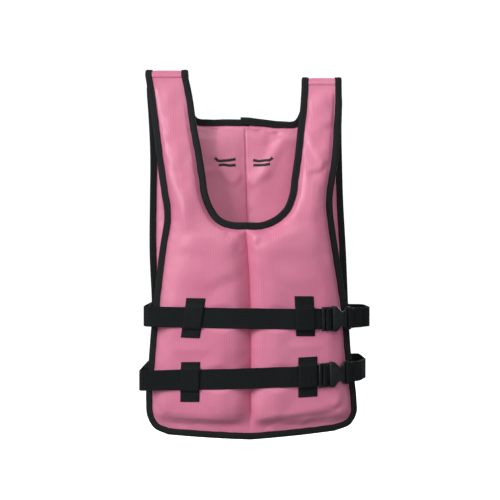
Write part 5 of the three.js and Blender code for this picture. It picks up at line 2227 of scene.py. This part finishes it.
@dataclass
class Buckle:
    """Side-release buckle: its two solids with a curved waist, a crowned body, soft edges and slot floors of black
    plastic that stand in for the shade seen through the slots.
    """

    belt: Belt
    finishes: Finishes
    nodes: dict[str, bpy.types.Object]
    soften: float = 0.5
    cavity: float = 11.5
    crown: float = 1.1
    slot_half: float = 19.2
    socket_shade_floor: tuple[float, float] = (17.7, 22.3)
    plug_shade_floor: tuple[float, float] = (53.0, 55.7)
    solid_knots: tuple[tuple[float, float], ...] = (
        (21, 22.5), (27, 24), (33, 20), (39, 14.5), (44, 13.5), (44.5, 13.5), (50, 22), (63, 21.5))
    curve_knots: tuple[tuple[float, float], ...] = (
        (21, 22.5), (24, 23.6), (28, 23.7), (32, 21.8), (35, 18.7), (38, 15.6), (41, 13.9), (44, 13.5), (46, 13.9),
        (48.5, 16.2), (51, 19.4), (54, 21.4), (57, 21.9), (63, 21.5))

    def axes(self, points: Array) -> Array:
        """Points in space against the buckle.

        Args:
            points: n by 3 millimetres.

        Returns:
            Length along the buckle, height against the belt's middle and distance out, for each point.
        """
        belt = self.belt
        flat = points[:, :2] - belt.origin
        return np.column_stack([flat @ belt.run, points[:, 2] - belt.height_at(points[:, 0]), flat @ belt.off])

    def placed(self, axes: Array) -> Array:
        """Undoes axes.

        Args:
            axes: Length, height and distance out, for each point.

        Returns:
            n by 3 millimetres in space.
        """
        belt = self.belt
        plan = belt.origin + axes[:, :1] * belt.run + axes[:, 2:] * belt.off
        return np.column_stack([plan, axes[:, 1] + belt.height_at(plan[:, 0])])

    def curved(self, axes: Array) -> Array:
        """Moves the solid's straight outline to the moulded curve and crowns its outer face.

        Args:
            axes: n by 3 of length, height and distance out.

        Returns:
            The moved points.
        """
        solid, curve = np.array(self.solid_knots, float), smooth_line(np.array(self.curve_knots), 8)
        at = axes[:, 0]
        straight = np.interp(at, solid[:, 0], solid[:, 1])
        wanted = np.interp(at, curve[:, 0], curve[:, 1])
        room = np.maximum(straight - 1.8 - self.cavity, 0.3)
        share = np.clip((np.abs(axes[:, 1]) - self.cavity) / room, 0, 1) * (at > 22)
        out = axes.copy()
        out[:, 1] += np.sign(axes[:, 1]) * share * (wanted - straight)
        face = np.clip(axes[:, 2] - self.belt.frame_high, 0, 1) * (at > 21)
        rise = (1 - (axes[:, 1] / 24) ** 2) * smoothstep(20, 27, at) * (1 - 0.8 * smoothstep(36, 44.5, at))
        out[:, 2] += face * self.crown * (rise - 0.6)
        return out

    def floor(self, work: bmesh.types.BMesh, low: float, high: float) -> None:
        """Adds the thin floor of black plastic under the far side of a webbing slot, which stands in for the shade seen
        there.

        Args:
            work: The mesh that gets the floor.
            low: Where it starts along the buckle.
            high: Where it ends inside the moulding.
        """
        base = self.belt.frame_low
        corners = np.array([
            (at, hand * self.slot_half, base + rise) for at in (low, high) for hand in (-1, 1) for rise in (0.15, 1.5)])
        made = [work.verts.new(Vector(p * MM)) for p in self.placed(corners)]
        for face in ((0, 1, 3, 2), (4, 6, 7, 5), (0, 4, 5, 1), (2, 3, 7, 6), (0, 2, 6, 4), (1, 5, 7, 3)):
            work.faces.new([made[i] for i in face])

    def moulded(self, half: str) -> bpy.types.Object:
        """Finished half of the buckle.

        Args:
            half: socket or plug.

        Returns:
            The new object, which stands for that half's solid.
        """
        node = f"buckle_{self.belt.name}_{half}"
        mesh = self.nodes[node].data.copy()
        mesh.materials.clear()
        mesh.materials.append(self.finishes.plastic)
        work = bmesh.new()
        work.from_mesh(mesh)
        bmesh.ops.remove_doubles(work, verts=work.verts, dist=1e-5)
        bmesh.ops.dissolve_limit(
            work, angle_limit=math.radians(1.5), verts=work.verts, edges=work.edges, delimit={"NORMAL"})
        for layer in list(work.loops.layers.uv.values()):
            work.loops.layers.uv.remove(layer)
        normal = Vector((*self.belt.run, 0.0))
        for at in np.arange(22.6, 62, 1.6):
            place = Vector((*(self.belt.at(float(at), 0.0) * MM), 0.0))
            bmesh.ops.bisect_plane(
                work, geom=[*work.verts, *work.edges, *work.faces], plane_co=place, plane_no=normal, dist=1e-7)
        points = np.array([v.co for v in work.verts]) / MM
        for vertex, point in zip(work.verts, self.placed(self.curved(self.axes(points)))):
            vertex.co = Vector(point * MM)
        # Painted shade: a black plastic floor under the slot stands in for the shade seen through it.
        self.floor(work, *(self.socket_shade_floor if half == "socket" else self.plug_shade_floor))
        bmesh.ops.recalc_face_normals(work, faces=work.faces)
        work.to_mesh(mesh)
        work.free()
        piece = bpy.data.objects.new(node + "_moulding", mesh)
        bpy.context.scene.collection.objects.link(piece)
        bevel = piece.modifiers.new("edges", "BEVEL")
        bevel.width = self.soften * MM
        bevel.segments = 3
        bevel.limit_method = "ANGLE"
        bevel.angle_limit = math.radians(32)
        bevel.use_clamp_overlap = True
        settle(piece)
        piece.data.shade_smooth()
        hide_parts(node)
        return piece

    def build(self) -> list[bpy.types.Object]:
        """Makes both halves of the buckle."""
        return [self.moulded(half) for half in ("socket", "plug")]


# Studio


@dataclass
class Studio:
    """Pale round backdrop, soft light and the camera of the photograph."""

    paper: bpy.types.Material
    floor_z: float = -1.25
    radius: float = 7.5
    cove: float = 2.6
    wall: float = 8.0
    camera_at: tuple[float, float, float] = (0.0124, -1.058, -0.339)
    lens: float = 38.916

    def backdrop(self) -> bpy.types.Object:
        """Makes the floor, which curves up into a wall all round.

        Returns:
            The backdrop.
        """
        profile = [(r, 0.0) for r in np.linspace(0.4, self.radius - self.cove, 6)]
        profile += [
            (self.radius - self.cove + self.cove * math.sin(a), self.cove - self.cove * math.cos(a))
            for a in np.linspace(0, math.pi / 2, 12)[1:]
        ]
        profile.append((self.radius, self.wall))
        turns = 96
        points = [(0.0, 0.0, self.floor_z / MM)]
        for r, z in profile:
            for k in range(turns):
                a = 2 * math.pi * k / turns
                points.append((r * math.cos(a) / MM, r * math.sin(a) / MM, (z + self.floor_z) / MM))
        faces: list[tuple[int, ...]] = [(0, 1 + k, 1 + (k + 1) % turns) for k in range(turns)]
        for i in range(len(profile) - 1):
            a, b = 1 + i * turns, 1 + (i + 1) * turns
            faces += [(a + k, b + k, b + (k + 1) % turns, a + (k + 1) % turns) for k in range(turns)]
        piece = make_mesh("studio_backdrop", np.array(points), faces, self.paper, turn_out=False)
        piece.visible_shadow = False
        piece.visible_diffuse = False
        piece.visible_glossy = False
        return piece

    def lamp(self, name: str, place: tuple[float, float, float], power: float, size: float) -> None:
        """Adds a square soft light that looks at the middle of the vest.

        Args:
            name: The light's name.
            place: Its place in metres.
            power: Watts.
            size: Side of the square in metres.
        """
        data = bpy.data.lights.new(name, "AREA")
        data.energy = power
        data.size = size
        lamp = bpy.data.objects.new(name, data)
        lamp.location = place
        aim = Vector((0.0, 0.0, -0.35)) - Vector(place)
        lamp.rotation_euler = aim.to_track_quat("-Z", "Y").to_euler()
        bpy.context.scene.collection.objects.link(lamp)

    def build(self) -> None:
        """Sets up the backdrop, the lights, the pale surroundings and the camera."""
        self.backdrop()
        self.lamp("key_light", (-3.95, -3.2, 1.85), 240, 2.4)
        self.lamp("fill_light", (0.9, -3.6, 0.5), 14, 2.0)
        self.lamp("top_light", (0.45, -1.6, 1.5), 16, 1.4)
        self.lamp("back_light", (1.9, 2.9, 1.0), 105, 2.8)
        world = bpy.data.worlds.new("pale_surroundings")
        world.use_nodes = True
        sky = world.node_tree.nodes["Background"]
        sky.inputs[0].default_value = (1.0, 1.0, 1.0, 1.0)
        sky.inputs[1].default_value = 0.24
        bpy.context.scene.world = world
        # The plain transform keeps the dye as strong as in the photograph.
        bpy.context.scene.view_settings.view_transform = "Standard"
        data = bpy.data.cameras.new("front_camera")
        data.lens = self.lens
        data.sensor_width = 36.0
        data.clip_end = 60.0
        camera = bpy.data.objects.new("front_camera", data)
        camera.location = self.camera_at
        camera.rotation_euler = (math.radians(90), 0.0, 0.0)
        bpy.context.scene.collection.objects.link(camera)
        bpy.context.scene.camera = camera


@dataclass
class LifeJacket:
    """The whole vest, made in order from its covers to its buckles."""

    nodes: dict[str, bpy.types.Object]
    finishes: Finishes
    pattern: Pattern = field(default_factory=Pattern)

    def build(self) -> list[bpy.types.Object]:
        """Makes every piece and ties it to the frame.

        Returns:
            The pieces.
        """
        p = self.pattern
        front = Panel(p, Side.FRONT, FRONT_ROWS, FRONT_FOLDS)
        back = Panel(p, Side.BACK, BACK_ROWS, BACK_FOLDS, channel_right=34.0, channel_depth=0.6,
                     inner_depth=0.16, crease_width=1.8, inner_crease=1.1)
        belts = [
            Belt(p, "upper", 0.336, -0.012, 1.014, 1.179, 14, 0.660, 24),
            Belt(p, "lower", 0.1755, 0.034, 1.051, 1.134, 7, 0.630, 20),
        ]
        for belt in belts:
            belt.settle_on(front, back)
        front.belts = back.belts = belts
        keepers = [
            Keeper(p, "upper_left", belts[0], -0.535, -1, 0.16),
            Keeper(p, "upper_right", belts[0], 0.516, 5, -0.02),
            Keeper(p, "lower_left", belts[1], -0.566, -4.5, 0.02),
            Keeper(p, "lower_right", belts[1], 0.541, -2.5, 0.0),
        ]
        front.keepers = keepers
        loop = HangLoop(p, back)
        pieces = [front.build(self.finishes), back.build(self.finishes)]
        bindings = {"edge": Binding(p, front, back, "edge", lap_rise=0.8), "neck": Binding(p, front, back, "neck")}
        pieces += [binding.build(self.finishes) for binding in bindings.values()]
        pieces += [belt.build(self.finishes) for belt in belts]
        pieces += [keeper.build(self.finishes) for keeper in keepers]
        pieces.append(loop.build(self.finishes))
        for belt in belts:
            pieces += Buckle(belt, self.finishes, self.nodes).build()
        welts = [ShoulderWelt(p, front, back, hand) for hand in (-1, 1)]
        pieces += [welt.build(self.finishes) for welt in welts]
        covers = {side: surface_of(piece) for side, piece in zip(Side, pieces[:2])}
        f = self.finishes
        rows = [
            *(Sewing(name + "_binding_stitches", f.black_thread, lines=binding.thread(binding.whole_edge()))
              for name, binding in bindings.items()),
            Sewing("keeper_stitches", f.black_thread, lines=[
                line for keeper in keepers for line in keeper.stitch_lines()]),
            Sewing("belt_stitches", f.black_thread, lines=[line for belt in belts for line in belt.thread()]),
            Sewing("loop_tacks", f.black_thread, 1.3, 1.7, lines=loop.outer_tacks()),
            Sewing("inner_bar_tacks", f.black_thread, 1.0, 3.0, 1.4, 0.3, lines=BarTacks(covers[Side.BACK]).thread()),
            Sewing("shoulder_stitches", f.pink_thread, lines=[line for welt in welts for line in welt.thread()]),
            Sewing("front_seam_stitches", f.pink_thread, lines=[
                *MiddleSeam(front, covers[Side.FRONT], Skin.OUTER, 0.04, 0.57).thread(),
                *MiddleSeam(front, covers[Side.FRONT], Skin.INNER, 0.04, 0.57).thread()]),
            Sewing("back_seam_stitches", f.pink_thread, lines=MiddleSeam(
                back, covers[Side.BACK], Skin.OUTER, 0.04, 0.865).thread()),
            # Dense dark stitches that paint the shade of the sewn groove inside the back.
            Sewing("inner_back_seam_stitches", f.seam_shade_thread, 2.9, 2.7, 0.75, lines=MiddleSeam(
                back, covers[Side.BACK], Skin.INNER, 0.04, 0.865).thread()),
        ]
        for row in rows:
            pieces.append(row.build())
        for piece in pieces:
            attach(piece, BODY)
            LOG.info("%s: %d faces", piece.name, len(piece.data.polygons))
        return pieces


def main() -> None:
    """Builds the vest and its studio."""
    logging.basicConfig(level=logging.INFO, format="%(name)s: %(message)s")
    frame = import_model()
    finishes = Finishes()
    Studio(finishes.paper).build()
    LifeJacket(frame["nodes"], finishes).build()


if __name__ == "__main__":
    main()
